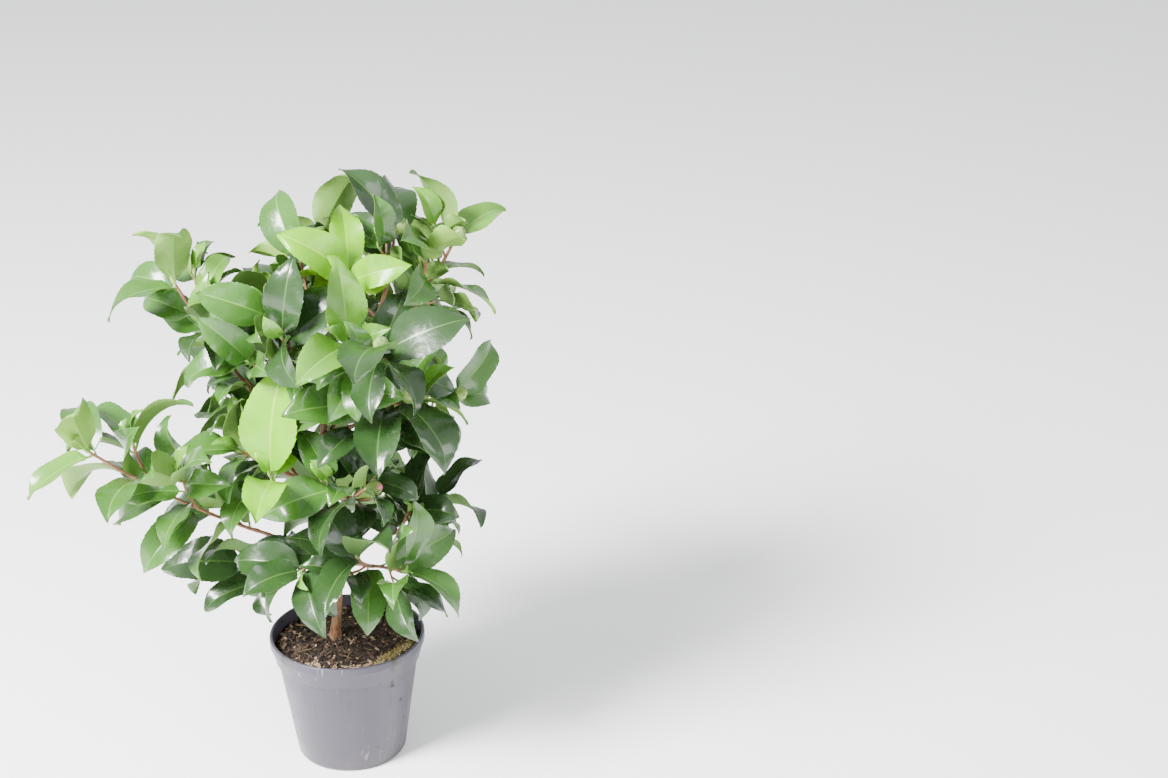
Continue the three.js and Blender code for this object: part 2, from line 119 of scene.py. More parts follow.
class Finish:
    """A procedural material: one Principled shader and the nodes that feed it."""

    def __init__(self, name, **constants):
        self.material = bpy.data.materials.new(name)
        self.material.use_nodes = True
        self.tree = self.material.node_tree
        self.shader = self.tree.nodes["Principled BSDF"]
        for socket, value in constants.items():
            self.shader.inputs[socket.replace("_", " ")].default_value = value
        self.place = self.node("ShaderNodeTexCoord").outputs["Object"]

    def node(self, kind, settings=(), sockets=()):
        """Adds a node: its type, its settings, then the values or links of its sockets."""
        made = self.tree.nodes.new(kind)
        for name, value in dict(settings).items():
            setattr(made, name, value)
        for name, value in dict(sockets).items():
            self.feed(made.inputs[name], value)
        return made

    def feed(self, socket, value):
        """Links a socket or sets its value. A colour is red, green and blue."""
        source = value.socket if isinstance(value, Amount) else value
        if isinstance(source, bpy.types.NodeSocket):
            self.tree.links.new(source, socket)
        else:
            socket.default_value = (*source, 1) if socket.type == "RGBA" else source

    def grain(self, scale, detail=3, stretch=(1, 1, 1)):
        """Cloudy noise with about scale lumps to a metre, drawn out along an axis by stretch."""
        place = self.node("ShaderNodeMapping", (), {"Vector": self.place, "Scale": stretch}).outputs[0]
        made = self.node("ShaderNodeTexNoise", (), {"Vector": place, "Scale": scale, "Detail": detail})
        return Amount(self, made.outputs["Fac"])

    def ramp(self, amount, low, high):
        """0 at low and beyond it, 1 at high and beyond it, with a smooth change between them."""
        made = self.node(
            "ShaderNodeMapRange",
            {"interpolation_type": "SMOOTHSTEP"},
            {"Value": amount, "From Min": low, "From Max": high},
        )
        return Amount(self, made.outputs[0])

    def spots(self, low, high, *grain):
        """Patches where the noise of that grain rises from low to high."""
        return self.ramp(self.grain(*grain), low, high)

    def part(self, axis):
        """The place on the surface along X, Y or Z, in metres."""
        made = self.node("ShaderNodeSeparateXYZ", (), {0: self.place})
        return Amount(self, made.outputs[axis])

    def mix(self, share, first, second):
        """A colour that goes from the first to the second as share goes from 0 to 1."""
        made = self.node("ShaderNodeMix", {"data_type": "RGBA"}, {0: share, 6: first, 7: second})
        return made.outputs[2]

    def paint(self, color, roughness, relief=None, depth=0.0):
        """Feeds the colour, the roughness, and a relief of the given depth in millimetres."""
        self.feed(self.shader.inputs["Base Color"], color)
        self.feed(self.shader.inputs["Roughness"], roughness)
        if relief is not None:
            bump = self.node("ShaderNodeBump", (), {"Height": relief, "Distance": depth * MM})
            self.feed(self.shader.inputs["Normal"], bump.outputs[0])
        return [self.material]

    def mottled(self, cloud, dark, light, rough, change=0, relief=None, depth=0.0):
        """Paints one colour that clouds over to a lighter one, which is rougher by the change."""
        roughness = rough + cloud * change if change else rough
        return self.paint(self.mix(cloud, dark, light), roughness, relief, depth)


def cone(bm, sides, lower, upper, length):
    """A closed cone or cylinder that stands along Z, with its middle at the origin."""
    size = {"segments": sides, "radius1": lower, "radius2": upper, "depth": length}
    return bmesh.ops.create_cone(bm, cap_ends=True, **size)["verts"]


def spun(profile, steps):
    """A closed turned shape from a profile of (radius, height) that starts and ends on the axis."""
    bm = bmesh.new()
    verts = [bm.verts.new((radius, 0, height)) for radius, height in profile]
    edges = [bm.edges.new(pair) for pair in zip(verts, verts[1:])]
    turn = {"cent": (0, 0, 0), "axis": (0, 0, 1), "angle": 2 * math.pi}
    bmesh.ops.spin(bm, geom=verts + edges, steps=steps, use_merge=True, **turn)
    bmesh.ops.remove_doubles(bm, verts=bm.verts, dist=0.001)
    bmesh.ops.recalc_face_normals(bm, faces=bm.faces)
    return bm


def mesh_of(name, bm):
    mesh = bpy.data.meshes.new(name)
    bm.to_mesh(mesh)
    bm.free()
    return mesh


def placed(name, data):
    made = bpy.data.objects.new(name, data)
    bpy.context.scene.collection.objects.link(made)
    return made


def piece(name, bm, materials, slot, sharp=35):
    """Turns a bmesh in millimetres into a finished piece of the plant, with edges above the angle sharp."""
    bmesh.ops.scale(bm, vec=(MM, MM, MM), verts=bm.verts)
    mesh = mesh_of(name, bm)
    for material in materials:
        mesh.materials.append(material)
    mesh.shade_smooth()
    mesh.set_sharp_from_angle(angle=sharp * DEGREE)
    made = placed(name, mesh)
    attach(made, "root")
    return made


def pot_taper(height):
    """The outer radius of the pot's tapered wall."""
    rise = POT_RIM_RADIUS - LIP_PROUD - COLLAR_STEP - POT_BASE_RADIUS
    return POT_BASE_RADIUS + rise * (height - FOOT_EDGE) / (POT_HEIGHT - FOOT_EDGE)


def pot_profile():
    """The section of the pot: up its outside, over its lip and down its inside."""
    step = POT_HEIGHT - COLLAR_HEIGHT
    lip = POT_HEIGHT - LIP_HEIGHT
    collar = pot_taper(step) + COLLAR_STEP
    return [
        (0, 0),
        (POT_BASE_RADIUS - FOOT_INSET, 0),
        (POT_BASE_RADIUS, FOOT_EDGE),
        (pot_taper(step), step),
        (collar, step + COLLAR_SLOPE),
        (POT_RIM_RADIUS - LIP_PROUD, lip - LIP_EDGE),
        (POT_RIM_RADIUS, lip),
        (POT_RIM_RADIUS, POT_HEIGHT - LIP_EDGE),
        (POT_RIM_RADIUS - 0.8 * LIP_EDGE, POT_HEIGHT),
        (POT_RIM_RADIUS - LIP_PROUD - POT_WALL, POT_HEIGHT),
        (collar - POT_WALL + COLLAR_THINNING, step + COLLAR_SLOPE),
        (pot_taper(step) - POT_WALL, step - COLLAR_SLOPE),
        (POT_BASE_RADIUS - POT_WALL, POT_FLOOR),
        (0, POT_FLOOR),
    ]


def drilled(bm):
    """The pot with its drain holes, cut by a Boolean modifier whose result is kept."""
    holes = bmesh.new()
    for i in range(DRAIN_COUNT):
        angle = 2 * math.pi * i / DRAIN_COUNT
        centre = (DRAIN_CIRCLE * math.cos(angle), DRAIN_CIRCLE * math.sin(angle), 0)
        hole = cone(holes, DRAIN_SIDES, DRAIN_RADIUS, DRAIN_RADIUS, DRILL_LENGTH)
        bmesh.ops.translate(holes, vec=centre, verts=hole)
    blank = placed("blank", mesh_of("blank", bm))
    drill = placed("drill", mesh_of("drill", holes))
    cut = blank.modifiers.new("holes", "BOOLEAN")
    cut.object = drill
    cut.operation = "DIFFERENCE"
    cut.solver = "EXACT"
    result = bmesh.new()
    result.from_object(blank, bpy.context.evaluated_depsgraph_get())
    for used in (blank, drill):
        bpy.data.objects.remove(used)
    return result


pot = spun(pot_profile(), POT_STEPS)
corners = [e for e in pot.edges if e.is_manifold and e.calc_face_angle() > ROUNDED_ABOVE * DEGREE]
rounding = {"offset": EDGE_ROUNDING, "segments": 2, "profile": 0.5, "affect": "EDGES", "material": -1}
bmesh.ops.bevel(pot, geom=corners, clamp_overlap=True, **rounding)
pot = drilled(pot)

plastic = Finish("grey_mauve_plastic", Specular_IOR_Level=0.35)


def drip(heading, lowest):
    """A dark run of algae on the outside of the lip and collar."""
    x = plastic.part("X") - POT_RIM_RADIUS * MM * math.cos(heading * DEGREE)
    y = plastic.part("Y") - POT_RIM_RADIUS * MM * math.sin(heading * DEGREE)
    near = plastic.ramp(x * x + y * y, (DRIP_RADIUS * MM) ** 2, (DRIP_RADIUS * MM / 2) ** 2)
    above = plastic.ramp(plastic.part("Z"), lowest * MM, (lowest + DRIP_FADE) * MM)
    return near * above * plastic.spots(0.3, 0.55, 120)


streaks = plastic.spots(0.58, 0.78, 1, 4, (210, 210, 16))
lime = plastic.spots(0.62, 0.7, 1, 3, (340, 340, 26)) * plastic.spots(0.52, 0.66, 16, 2)
splashes = plastic.spots(0.66, 0.74, 95, 5)
dust = plastic.ramp(plastic.part("Z"), 0.06, -0.02) * plastic.grain(60, 4)
haze = plastic.spots(0.35, 0.7, 28, 3)
soiled = (0.053, 0.048, 0.067)
for mark, cover, color in (
    (streaks, 0.5, (0.03, 0.025, 0.024)),
    (haze, 0.4, (0.067, 0.061, 0.081)),
    (lime, 0.7, (0.26, 0.25, 0.24)),
    (splashes, 0.85, (0.03, 0.02, 0.012)),
    (sum(drip(*place) for place in DRIPS), 0.85, (0.03, 0.026, 0.01)),
    (dust, 0.5, (0.11, 0.098, 0.086)),
):
    soiled = plastic.mix(mark * cover, soiled, color)
plastic.paint(
    color=soiled,
    roughness=0.3 + haze * 0.14 + streaks * 0.14 + splashes * 0.3,
    relief=plastic.grain(1400, 2) * 0.4 + plastic.grain(70, 2) * 0.8 + splashes + lime * 0.6,
    depth=0.22,
)
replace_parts(piece("nursery_pot", pot, [plastic.material], "pot", sharp=30), "pot")

# The compost
# Moist peat and bark compost, filled to a finger below the rim and a little higher towards its edge.
# It fills the pot loosely, and its upper side is crumbled.
GAP = 0.3
SOIL_TOP = 113
SOIL_RINGS = 44
SOIL_STEPS = 144
SOIL_HEAP = 1.8
SOIL_SWELLS = ((2, 30, 52), (-2.5, 60, 70))
SOIL_LUMPS = ((2.6, 11, 4), (2.1, 4, 9), (0.8, 1.7, 2))
SOIL_STEP = 1.6
SOIL_WIDENING = 1.5


def soil_level(x, y):
    """The height of the compost at a place in the pot: swells from one radius to another, and lumps of
    three widths, each from its own layer of the noise."""
    radius = math.hypot(x, y)
    level = SOIL_TOP + SOIL_HEAP
    for rise, start, end in SOIL_SWELLS:
        level += rise * min(max((radius - start) / (end - start), 0), 1)
    for rise, width, layer in SOIL_LUMPS:
        level += rise * noise.noise((x / width, y / width, layer))
    return level


def soil_shape():
    """The filling as a turned solid whose upper side is crumbled."""
    step = POT_HEIGHT - COLLAR_HEIGHT
    below, above = step - COLLAR_SLOPE, step + COLLAR_SLOPE
    edge = pot_taper(step) + COLLAR_STEP - POT_WALL - GAP + SOIL_WIDENING
    wall = [
        (0, POT_FLOOR + GAP),
        (POT_BASE_RADIUS - POT_WALL - GAP, POT_FLOOR + GAP),
        (pot_taper(below) - POT_WALL - GAP, below),
        (pot_taper(above) - POT_WALL + SOIL_STEP, above),
    ]
    rings = [(edge * (1 - i / SOIL_RINGS), SOIL_TOP) for i in range(SOIL_RINGS + 1)]
    bm = spun(wall + rings, SOIL_STEPS)
    for vert in bm.verts:
        if vert.co.z > SOIL_TOP - 1:
            vert.co.z = soil_level(vert.co.x, vert.co.y)
    return bm


loam = Finish("peat_and_bark", Specular_IOR_Level=0.3)
damp = loam.spots(0.4, 0.68, 45, 4)
earth = loam.mix(damp, (0.009, 0.006, 0.0045), (0.026, 0.017, 0.011))
loam.paint(
    color=loam.mix(loam.spots(0.56, 0.72, 700, 3), earth, (0.06, 0.038, 0.023)),
    roughness=0.92 - damp * 0.2,
    relief=loam.grain(600, 5) + loam.grain(220, 3) * 2,
    depth=1.2,
)
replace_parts(piece("compost_filling", soil_shape(), [loam.material], "compost", sharp=80), "compost")

# The bark chips and fibres
# Composted bark in chips of three browns, from crumbs to bits of a centimetre, and long fibres of peat.
# They lie loose on the compost, and half of the tan chips lie together near the rim at the front.
CHIPS = {
    "dark": (640, (0.008, 0.005, 0.004), (0.028, 0.015, 0.01)),
    "brown": (520, (0.035, 0.018, 0.01), (0.09, 0.05, 0.028)),
    "tan": (260, (0.13, 0.085, 0.05), (0.36, 0.26, 0.165)),
}
CHIP_SHORTEST = 2.4
CHIP_LENGTHENED = 7
CHIP_WIDTHS = (1.6, 3.8)
CHIP_DEPTHS = (0.7, 1.8)
CHIP_TILT = 0.7
CORNER_KEPT = 0.55
CHIPS_FROM = 3
CHIPS_TO = 69
SWEPT_FROM = 52
SWEPT_HEADING = -62
SWEPT_SPREAD = 1.1
SWEPT_HEAP = 1.2
FIBRE_COUNT = 50
FIBRE_LENGTHS = (6, 18)
FIBRE_WIDTHS = (0.35, 0.65)
FIBRE_DEPTH = 0.35
FIBRE_TILT = 0.25
FIBRE_SEED = 7


def scattered(random, inner, outer, heading=0, spread=math.pi):
    """A place on the compost, evenly spread between two radii and within spread of a heading."""
    radius = math.sqrt(inner**2 + (outer**2 - inner**2) * random.random())
    angle = heading * DEGREE + spread * random.uniform(-1, 1)
    return radius * math.cos(angle), radius * math.sin(angle)


def lay(bm, verts, lean, place):
    """Turns a loose bit by three angles and puts it in its place."""
    bmesh.ops.rotate(bm, verts=verts, cent=(0, 0, 0), matrix=Euler(lean).to_matrix())
    bmesh.ops.translate(bm, verts=verts, vec=place)


def add_chip(bm, random, place, size, tilt):
    """One chip: a cube flattened to size, with its corners broken and its own turn."""
    made = bmesh.ops.create_cube(bm, size=1)["verts"]
    for vert in made:
        vert.co = [c * s * random.uniform(CORNER_KEPT, 1) for c, s in zip(vert.co, size)]
    lean = [random.uniform(-tilt, tilt), random.uniform(-tilt, tilt), random.uniform(0, 2 * math.pi)]
    lay(bm, made, lean, place)


for kind, (count, dark, light) in CHIPS.items():
    random = np.random.default_rng(count)
    chips = bmesh.new()
    for number in range(count):
        swept = kind == "tan" and number % 2
        area = (SWEPT_FROM, CHIPS_TO, SWEPT_HEADING, SWEPT_SPREAD) if swept else (CHIPS_FROM, CHIPS_TO)
        x, y = scattered(random, *area)
        length = CHIP_SHORTEST + CHIP_LENGTHENED * random.random() ** 2.5
        size = (length, random.uniform(*CHIP_WIDTHS), random.uniform(*CHIP_DEPTHS))
        z = soil_level(x, y) + 0.5 + swept * SWEPT_HEAP * random.random()
        add_chip(chips, random, (x, y, z), size, CHIP_TILT)
    bark = Finish(f"{kind}_bark_chips", Specular_IOR_Level=0.35)
    layers = bark.grain(420, 4)
    piece(f"bark_chips_{kind}", chips, bark.mottled(layers, dark, light, 0.6, 0.35, layers, 0.5), "compost")


def clouded(name, scale, dark, light, rough, **constants):
    """A finish whose colour varies in clouds of one size."""
    made = Finish(name, **constants)
    return made.mottled(made.grain(scale), dark, light, rough)


random = np.random.default_rng(FIBRE_SEED)
fibres = bmesh.new()
for _ in range(FIBRE_COUNT):
    x, y = scattered(random, CHIPS_FROM, CHIPS_TO - 3)
    size = (random.uniform(*FIBRE_LENGTHS), random.uniform(*FIBRE_WIDTHS), FIBRE_DEPTH)
    add_chip(fibres, random, (x, y, soil_level(x, y) + 1.1), size, FIBRE_TILT)
peat = clouded("peat_fibre", 180, (0.09, 0.05, 0.026), (0.3, 0.2, 0.11), 0.8)
piece("peat_fibres", fibres, peat, "compost")

# The moss and straw
# A clump of moss that has grown against the wall of the pot at the front right, with bits of dry straw in it.
# It is highest in its middle, where it looks over the rim.
MOSS_COUNT = 1600
MOSS_HEADING = -34
MOSS_SPREAD = 15
MOSS_OUTER = 69.5
MOSS_THICKNESS = 7.5
MOSS_REACH = 22
MOSS_HEAP = 16
MOSS_LENGTHS = (3, 6)
MOSS_RADII = (0.5, 0.08)
STRAW_COUNT = 280
STRAW_LENGTHS = (2.5, 7)
STRAW_WIDTHS = (1, 1.9)
STRAW_DEPTH = 0.6
STRAW_TILT = 0.8


def moss_place(random, depth):
    """A place in the heap of moss: against the wall, and up to depth below its top."""
    away = random.standard_normal()
    inward = min(abs(MOSS_THICKNESS * random.standard_normal()), MOSS_REACH)
    angle = (MOSS_HEADING + MOSS_SPREAD * away) * DEGREE
    x, y = (MOSS_OUTER - inward) * math.cos(angle), (MOSS_OUTER - inward) * math.sin(angle)
    heap = MOSS_HEAP * math.exp(-((away / 1.2) ** 2)) * max(1 - inward / MOSS_HEAP, 0)
    return x, y, soil_level(x, y) + 1 + heap * (1 - depth * random.random() ** 2)


tuft = bmesh.new()
for _ in range(MOSS_COUNT):
    shoot = cone(tuft, 3, *MOSS_RADII, random.uniform(*MOSS_LENGTHS))
    lean = [random.uniform(-1, 1), random.uniform(-1, 1), random.uniform(0, 6)]
    lay(tuft, shoot, lean, moss_place(random, 1))
piece("moss_tuft", tuft, clouded("moss", 160, (0.065, 0.058, 0.011), (0.26, 0.205, 0.05), 0.85), "compost")

bits = bmesh.new()
for _ in range(STRAW_COUNT):
    size = (random.uniform(*STRAW_LENGTHS), random.uniform(*STRAW_WIDTHS), STRAW_DEPTH)
    add_chip(bits, random, moss_place(random, 0.4), size, STRAW_TILT)
straw = clouded("dry_straw", 240, (0.16, 0.11, 0.035), (0.5, 0.4, 0.22), 0.75, Specular_IOR_Level=0.3)
piece("straw_bits", bits, straw, "compost")

# The trunk
# A short woody trunk of about 9 mm, tan to red-brown, with fine upright cracks in its thin bark.
# It flares into the compost with three low roots, and sways and tapers up to a fork.
TRUNK_FOOT = np.array([-14.0, 10.0])
TRUNK_FORK = np.array([-8.0, 10.0])
FORK_HEIGHT = 380
TRUNK_FOOT_RADIUS = 4.8
TRUNK_FORK_RADIUS = 3.6
TRUNK_FLARE = 2.6
TRUNK_FLARE_HEIGHT = 7
TRUNK_SWAY = 5
TRUNK_SUNK = 3
TRUNK_ROWS = 130
TRUNK_SIDES = 20
ROOT_LOBES = 0.16
SKY = np.array([0.0, 0.0, 1.0])


def unit(v):
    return v / np.sqrt(v @ v)


def across(v, d):
    """The part of v at right angles to unit vector d, at unit length."""
    return unit(v - d * (v @ d))


def turned_about(v, other, angle):
    return v * math.cos(angle) + other * math.sin(angle)


def towards(heading, rise):
    a, r = heading * DEGREE, rise * DEGREE
    return np.array([math.cos(a) * math.cos(r), math.sin(a) * math.cos(r), math.sin(r)])


def level_side(heading):
    return np.array([math.sin(heading * DEGREE), -math.cos(heading * DEGREE), 0.0])


def up_trunk(z):
    return (z - SOIL_TOP) / (FORK_HEIGHT - SOIL_TOP)


def trunk_point(z):
    t = up_trunk(z)
    sway = np.array([math.sin(t * math.pi * 2), -math.sin(t * math.pi)]) * TRUNK_SWAY
    return np.array([*(TRUNK_FOOT + (TRUNK_FORK - TRUNK_FOOT) * t + sway), z])


def add_limb(bm, points, radius_at, side, sides):
    """A closed round limb along a line: a cylinder cut into rows, each moved square to the line.
    radius_at gives the radius for a row and an angle, and side keeps the rows from turning."""
    rows = len(points) - 1
    old = len(bm.verts)
    foot = [v for v in cone(bm, sides, 1, 1, rows) if v.co.z < 0]
    uprights = [e for v in foot for e in v.link_edges if e.other_vert(v).co.z > 0]
    bmesh.ops.subdivide_edges(bm, edges=uprights, cuts=rows - 1, use_grid_fill=False)
    bm.verts.ensure_lookup_table()
    frames = []
    for row in range(rows + 1):
        ahead = unit(points[min(row + 1, rows)] - points[max(row - 1, 0)])
        right = across(side, ahead)
        frames.append((right, np.cross(ahead, right)))
    for vert in bm.verts[old:]:
        row = round(vert.co.z + rows / 2)
        angle = math.atan2(vert.co.x, vert.co.y)
        right, up = frames[row]
        vert.co = points[row] + turned_about(up, right, angle) * radius_at(row, angle)


def bark_relief(x, y, z):
    """How far the bark stands out, in millimetres: long shallow ridges, and small bumps between them."""
    ridges = noise.noise((x * 0.9, y * 0.9, z * 0.06 + 1))
    bumps = noise.noise((x * 0.5, y * 0.5, z * 0.35 + 1))
    return 0.16 * ridges + 0.2 * bumps


def shaded(color, times):
    return [part * times for part in color]


def wood(name, dark, light, grey):
    """Thin bark: two browns in long streaks, with grey patches and fine upright cracks."""
    made = Finish(name, Specular_IOR_Level=0.3)
    long_streaks = made.grain(1, 5, (300, 300, 45))
    patches = made.spots(0.5, 0.72, 75, 4)
    cracks = made.spots(0.34, 0.5, 1, 6, (800, 800, 140))
    brown = made.mix(patches * 0.6, made.mix(long_streaks, dark, light), grey)
    return made.paint(
        color=made.mix(cracks, shaded(dark, 0.7), brown),
        roughness=0.5 + patches * 0.25,
        relief=cracks + long_streaks * 0.4,
        depth=0.13,
    )


trunk_heights = np.linspace(SOIL_TOP - TRUNK_SUNK, FORK_HEIGHT, TRUNK_ROWS + 1)


def trunk_skin(row, angle):
    """The trunk's radius: its taper, its flare with the lobes of the roots, and its bark."""
    z = trunk_heights[row]
    above = max(z - SOIL_TOP, 0)
    low = math.exp(-above / TRUNK_FLARE_HEIGHT)
    taper = TRUNK_FOOT_RADIUS + (TRUNK_FORK_RADIUS - TRUNK_FOOT_RADIUS) * up_trunk(SOIL_TOP + above)
    lobes = 1 + ROOT_LOBES * math.cos(3 * angle + 0.6) * low
    return (taper + TRUNK_FLARE * low) * lobes + bark_relief(3 * math.cos(angle), 3 * math.sin(angle), z)


trunk = bmesh.new()
add_limb(trunk, [trunk_point(z) for z in trunk_heights], trunk_skin, level_side(0), TRUNK_SIDES)
old_bark = wood("trunk_bark", (0.16, 0.08, 0.04), (0.32, 0.175, 0.092), (0.25, 0.19, 0.13))
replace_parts(piece("trunk_with_bark", trunk, old_bark, "bark", sharp=60), "trunk")

# The boughs
# Woody limbs of 4 to 5 mm that leave the trunk at their own height and heading, or stand on its fork.
# Each has a collar where it leaves the wood that carries it, and tapers to where its foliage starts.
LIMB_STEP = 9
LIMB_ROOT_RADIUS = 2.6
LIMB_SIDE_RADIUS = 1.85
LIMB_TIP_RADIUS = 1.8
LEADER_RADIUS = 3.2
BOUGH_COLLAR = 0.75
LEADER_COLLAR = 0.1
COLLAR_LENGTH = 4
JOINT_EVERY = 20
JOINT_LENGTH = 1.3
JOINT_SWELLING = 0.13
BARK_ROUGHNESS = 0.06
BOUGH_SIDES = 12
ZIGZAG = 7
SMOOTH_STEPS = 4


def planned(
    name, height, heading, rise, length, bare, size, seed, on=None, fork=False, young=False, buds=0
):
    """A limb. Heading 0 is to the right, 90 to the back, 180 to the left and 270 towards the viewer. The rise
    goes from the first angle to the second, and the bare share of the length is the bough."""
    return SimpleNamespace(**locals())


limbs = [
    planned("low_left", 209, 199, (23, 42), 263, 0.3, 1.02, 319),
    planned("skirt_left", 191, 163, (-4, -7), 96, 0.42, 1.1, 525),
    planned("mid_left", 292, 189, (52, 64), 231, 0.32, 0.92, 700),
    planned("fan_left", 278, 210, (31, 39), 102, 0.4, 0.96, 127),
    planned("front_left", 267, 238, (8, 66), 96, 0.6, 1.4, 926, young=True),
    planned("low_right", 215, 353, (7, 53), 117, 0.36, 1.02, 38),
    planned("mid_right", 292, 6, (26, 38), 146, 0.34, 0.9, 603, buds=1),
    planned("low_front", 219, 258, (16, 4), 88, 0.4, 0.96, 970),
    planned("low_front_right", 198, 312, (20, 14), 112, 0.4, 1.1, 731),
    planned("mid_front", 272, 301, (11, 42), 99, 0.36, 1, 330, buds=1),
    planned("front_right", 332, 316, (25, 42), 133, 0.36, 1.08, 709, buds=1),
    planned("low_back", 215, 97, (2, 23), 138, 0.34, 1.1, 111),
    planned("mid_back", 280, 117, (30, 52), 137, 0.34, 0.98, 378, buds=1),
    planned("back_right", 322, 56, (39, 48), 166, 0.34, 1.1, 435, buds=1),
    planned("back_left", 259, 138, (18, 50), 153, 0.34, 1.08, 310),
    planned("high_left", 369, 211, (31, 40), 86, 0.34, 0.9, 686),
    planned("leader_left", 380, 182, (81, 82), 125, 0.56, 1.1, 416, fork=True),
    planned("leader_right", 380, 349, (46, 87), 170, 0.6, 1.1, 405, fork=True, buds=2),
    planned("upper_left", 424, 164, (21, 72), 67, 0.3, 0.98, 520, on="leader_left"),
    planned("upper_front", 403, 249, (22, 52), 88, 0.32, 1.04, 194, on="leader_left"),
    planned("upper_back", 416, 94, (29, 65), 116, 0.32, 1.08, 764, on="leader_left"),
    planned("bright_front", 454, 244, (33, 72), 69, 0.5, 1, 132, on="leader_right", young=True),
    planned("upper_right", 430, 13, (29, 67), 125, 0.32, 0.96, 318, on="leader_right", buds=2),
    planned("upper_front_right", 416, 288, (7, 39), 124, 0.32, 1.1, 716, on="leader_right", buds=1),
]


def rounded(value):
    return math.floor(value + 0.5)


def limb_root(limb):
    """The point at the limb's height on the line of the trunk or of the limb that carries it."""
    if not limb.on:
        return trunk_point(limb.height)
    path = next(other.path for other in limbs if other.name == limb.on)
    i = next(k for k, p in enumerate(path) if p[2] > limb.height)
    share = (limb.height - path[i - 1][2]) / (path[i][2] - path[i - 1][2])
    return path[i - 1] + (path[i] - path[i - 1]) * share


def limb_path(limb):
    """The limb's line: even steps from its root, in a slight zigzag, from one rise to the other."""
    count = rounded(limb.length / LIMB_STEP)
    points = [limb_root(limb)]
    for i in range(count):
        rise = limb.rise[0] + (limb.rise[1] - limb.rise[0]) * i / count
        kink = ZIGZAG * math.sin(i * 1.7 + limb.seed)
        points.append(points[i] + towards(limb.heading + kink, rise) * LIMB_STEP)
    return points


def smoothed(points):
    """A smooth curve through the points, with a few steps between each two."""
    ends = [2 * points[0] - points[1], *points, 2 * points[-1] - points[-2]]
    line = []
    for a, b, c, d in zip(ends, ends[1:], ends[2:], ends[3:]):
        for i in range(SMOOTH_STEPS):
            t = i / SMOOTH_STEPS
            bend = (2 * a - 5 * b + 4 * c - d) * t**2 + (3 * b - a - 3 * c + d) * t**3
            line.append(0.5 * (2 * b + (c - a) * t + bend))
    return line + [points[-1]]


def tapered(line, root, tip, collar, seed):
    """The radius along a limb's line: an even taper, a collar at the root, joints and fine relief."""

    def radius(row, angle):
        taper = root + (tip - root) * row / (len(line) - 1)
        along = row * LIMB_STEP / SMOOTH_STEPS
        joint = JOINT_SWELLING * math.exp(-(((along % JOINT_EVERY - JOINT_EVERY / 2) / JOINT_LENGTH) ** 2))
        swelling = collar * math.exp(-along / COLLAR_LENGTH)
        rough = BARK_ROUGHNESS * noise.noise((2 * math.cos(angle), 2 * math.sin(angle), row * 0.3 + seed))
        return taper * (1 + joint + swelling + rough)

    return radius


boughs = bmesh.new()
for limb in limbs:
    limb.path = limb_path(limb)
    limb.bare_steps = rounded((len(limb.path) - 1) * limb.bare)
    limb.curve = smoothed(limb.path)
    root, collar = LIMB_SIDE_RADIUS if limb.on else LIMB_ROOT_RADIUS, BOUGH_COLLAR
    if limb.fork:
        root, collar = LEADER_RADIUS, LEADER_COLLAR
    line = limb.curve[: limb.bare_steps * SMOOTH_STEPS + 1]
    skin = tapered(line, root, LIMB_TIP_RADIUS, collar, limb.seed)
    add_limb(boughs, line, skin, level_side(limb.heading), BOUGH_SIDES)
bough_bark = wood("bough_bark", (0.2, 0.095, 0.05), (0.36, 0.19, 0.11), (0.28, 0.2, 0.13))
bough_nodes = [f"bough_{limb.name}" for limb in limbs]
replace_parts(piece("boughs_with_bark", boughs, bough_bark, "bark", sharp=60), *bough_nodes)

# The stems and side twigs
# Red-brown twigs of about 3 mm: the stems that go on from the boughs, and side twigs where there is room.
# The newest, which carry soft leaves, are still green.
TWIG_RADIUS = 1.6
TWIG_TIP_RADIUS = 1.4
TWIG_COLLAR = 0.35
TWIG_SIDES = 8
TWIG_FROM = 14
TWIG_EVERY = 45
TWIG_FREE_TIP = 12
TWIG_LENGTHS = (33, 55)
TWIG_ANGLES = (46, 60)
TWIG_LIFT = 10
TWIG_BEND = 5
TWIG_STEEPEST = 80
TWIG_BARE = 14
TWIG_LEAF_SIZE = 0.94
STEM_BARE = 6
LIMB_CLEARANCE = 5.2
TRUNK_CLEARANCE = 8.2
OWN_SHARE = 0.85
LOWEST_LEAF = POT_HEIGHT - 4
REACH = 106


def seeded(seed):
    """Even random numbers from 0 to 1, the same each run and the same as in the solids."""
    state = seed & 0xFFFFFFFF

    def draw():
        nonlocal state
        state = (state + 0x6D2B79F5) & 0xFFFFFFFF
        t = ((state ^ (state >> 15)) * (state | 1)) & 0xFFFFFFFF
        t ^= (t + (((t ^ (t >> 7)) * (t | 61)) & 0xFFFFFFFF)) & 0xFFFFFFFF
        return (t ^ (t >> 14)) / 4294967296

    return draw


def within(draw, low, high):
    return low + (high - low) * draw()


def ball_round(points):
    points = np.array(points)
    centre = points.mean(axis=0)
    return points, centre, np.sqrt(((points - centre) ** 2).sum(axis=1).max())


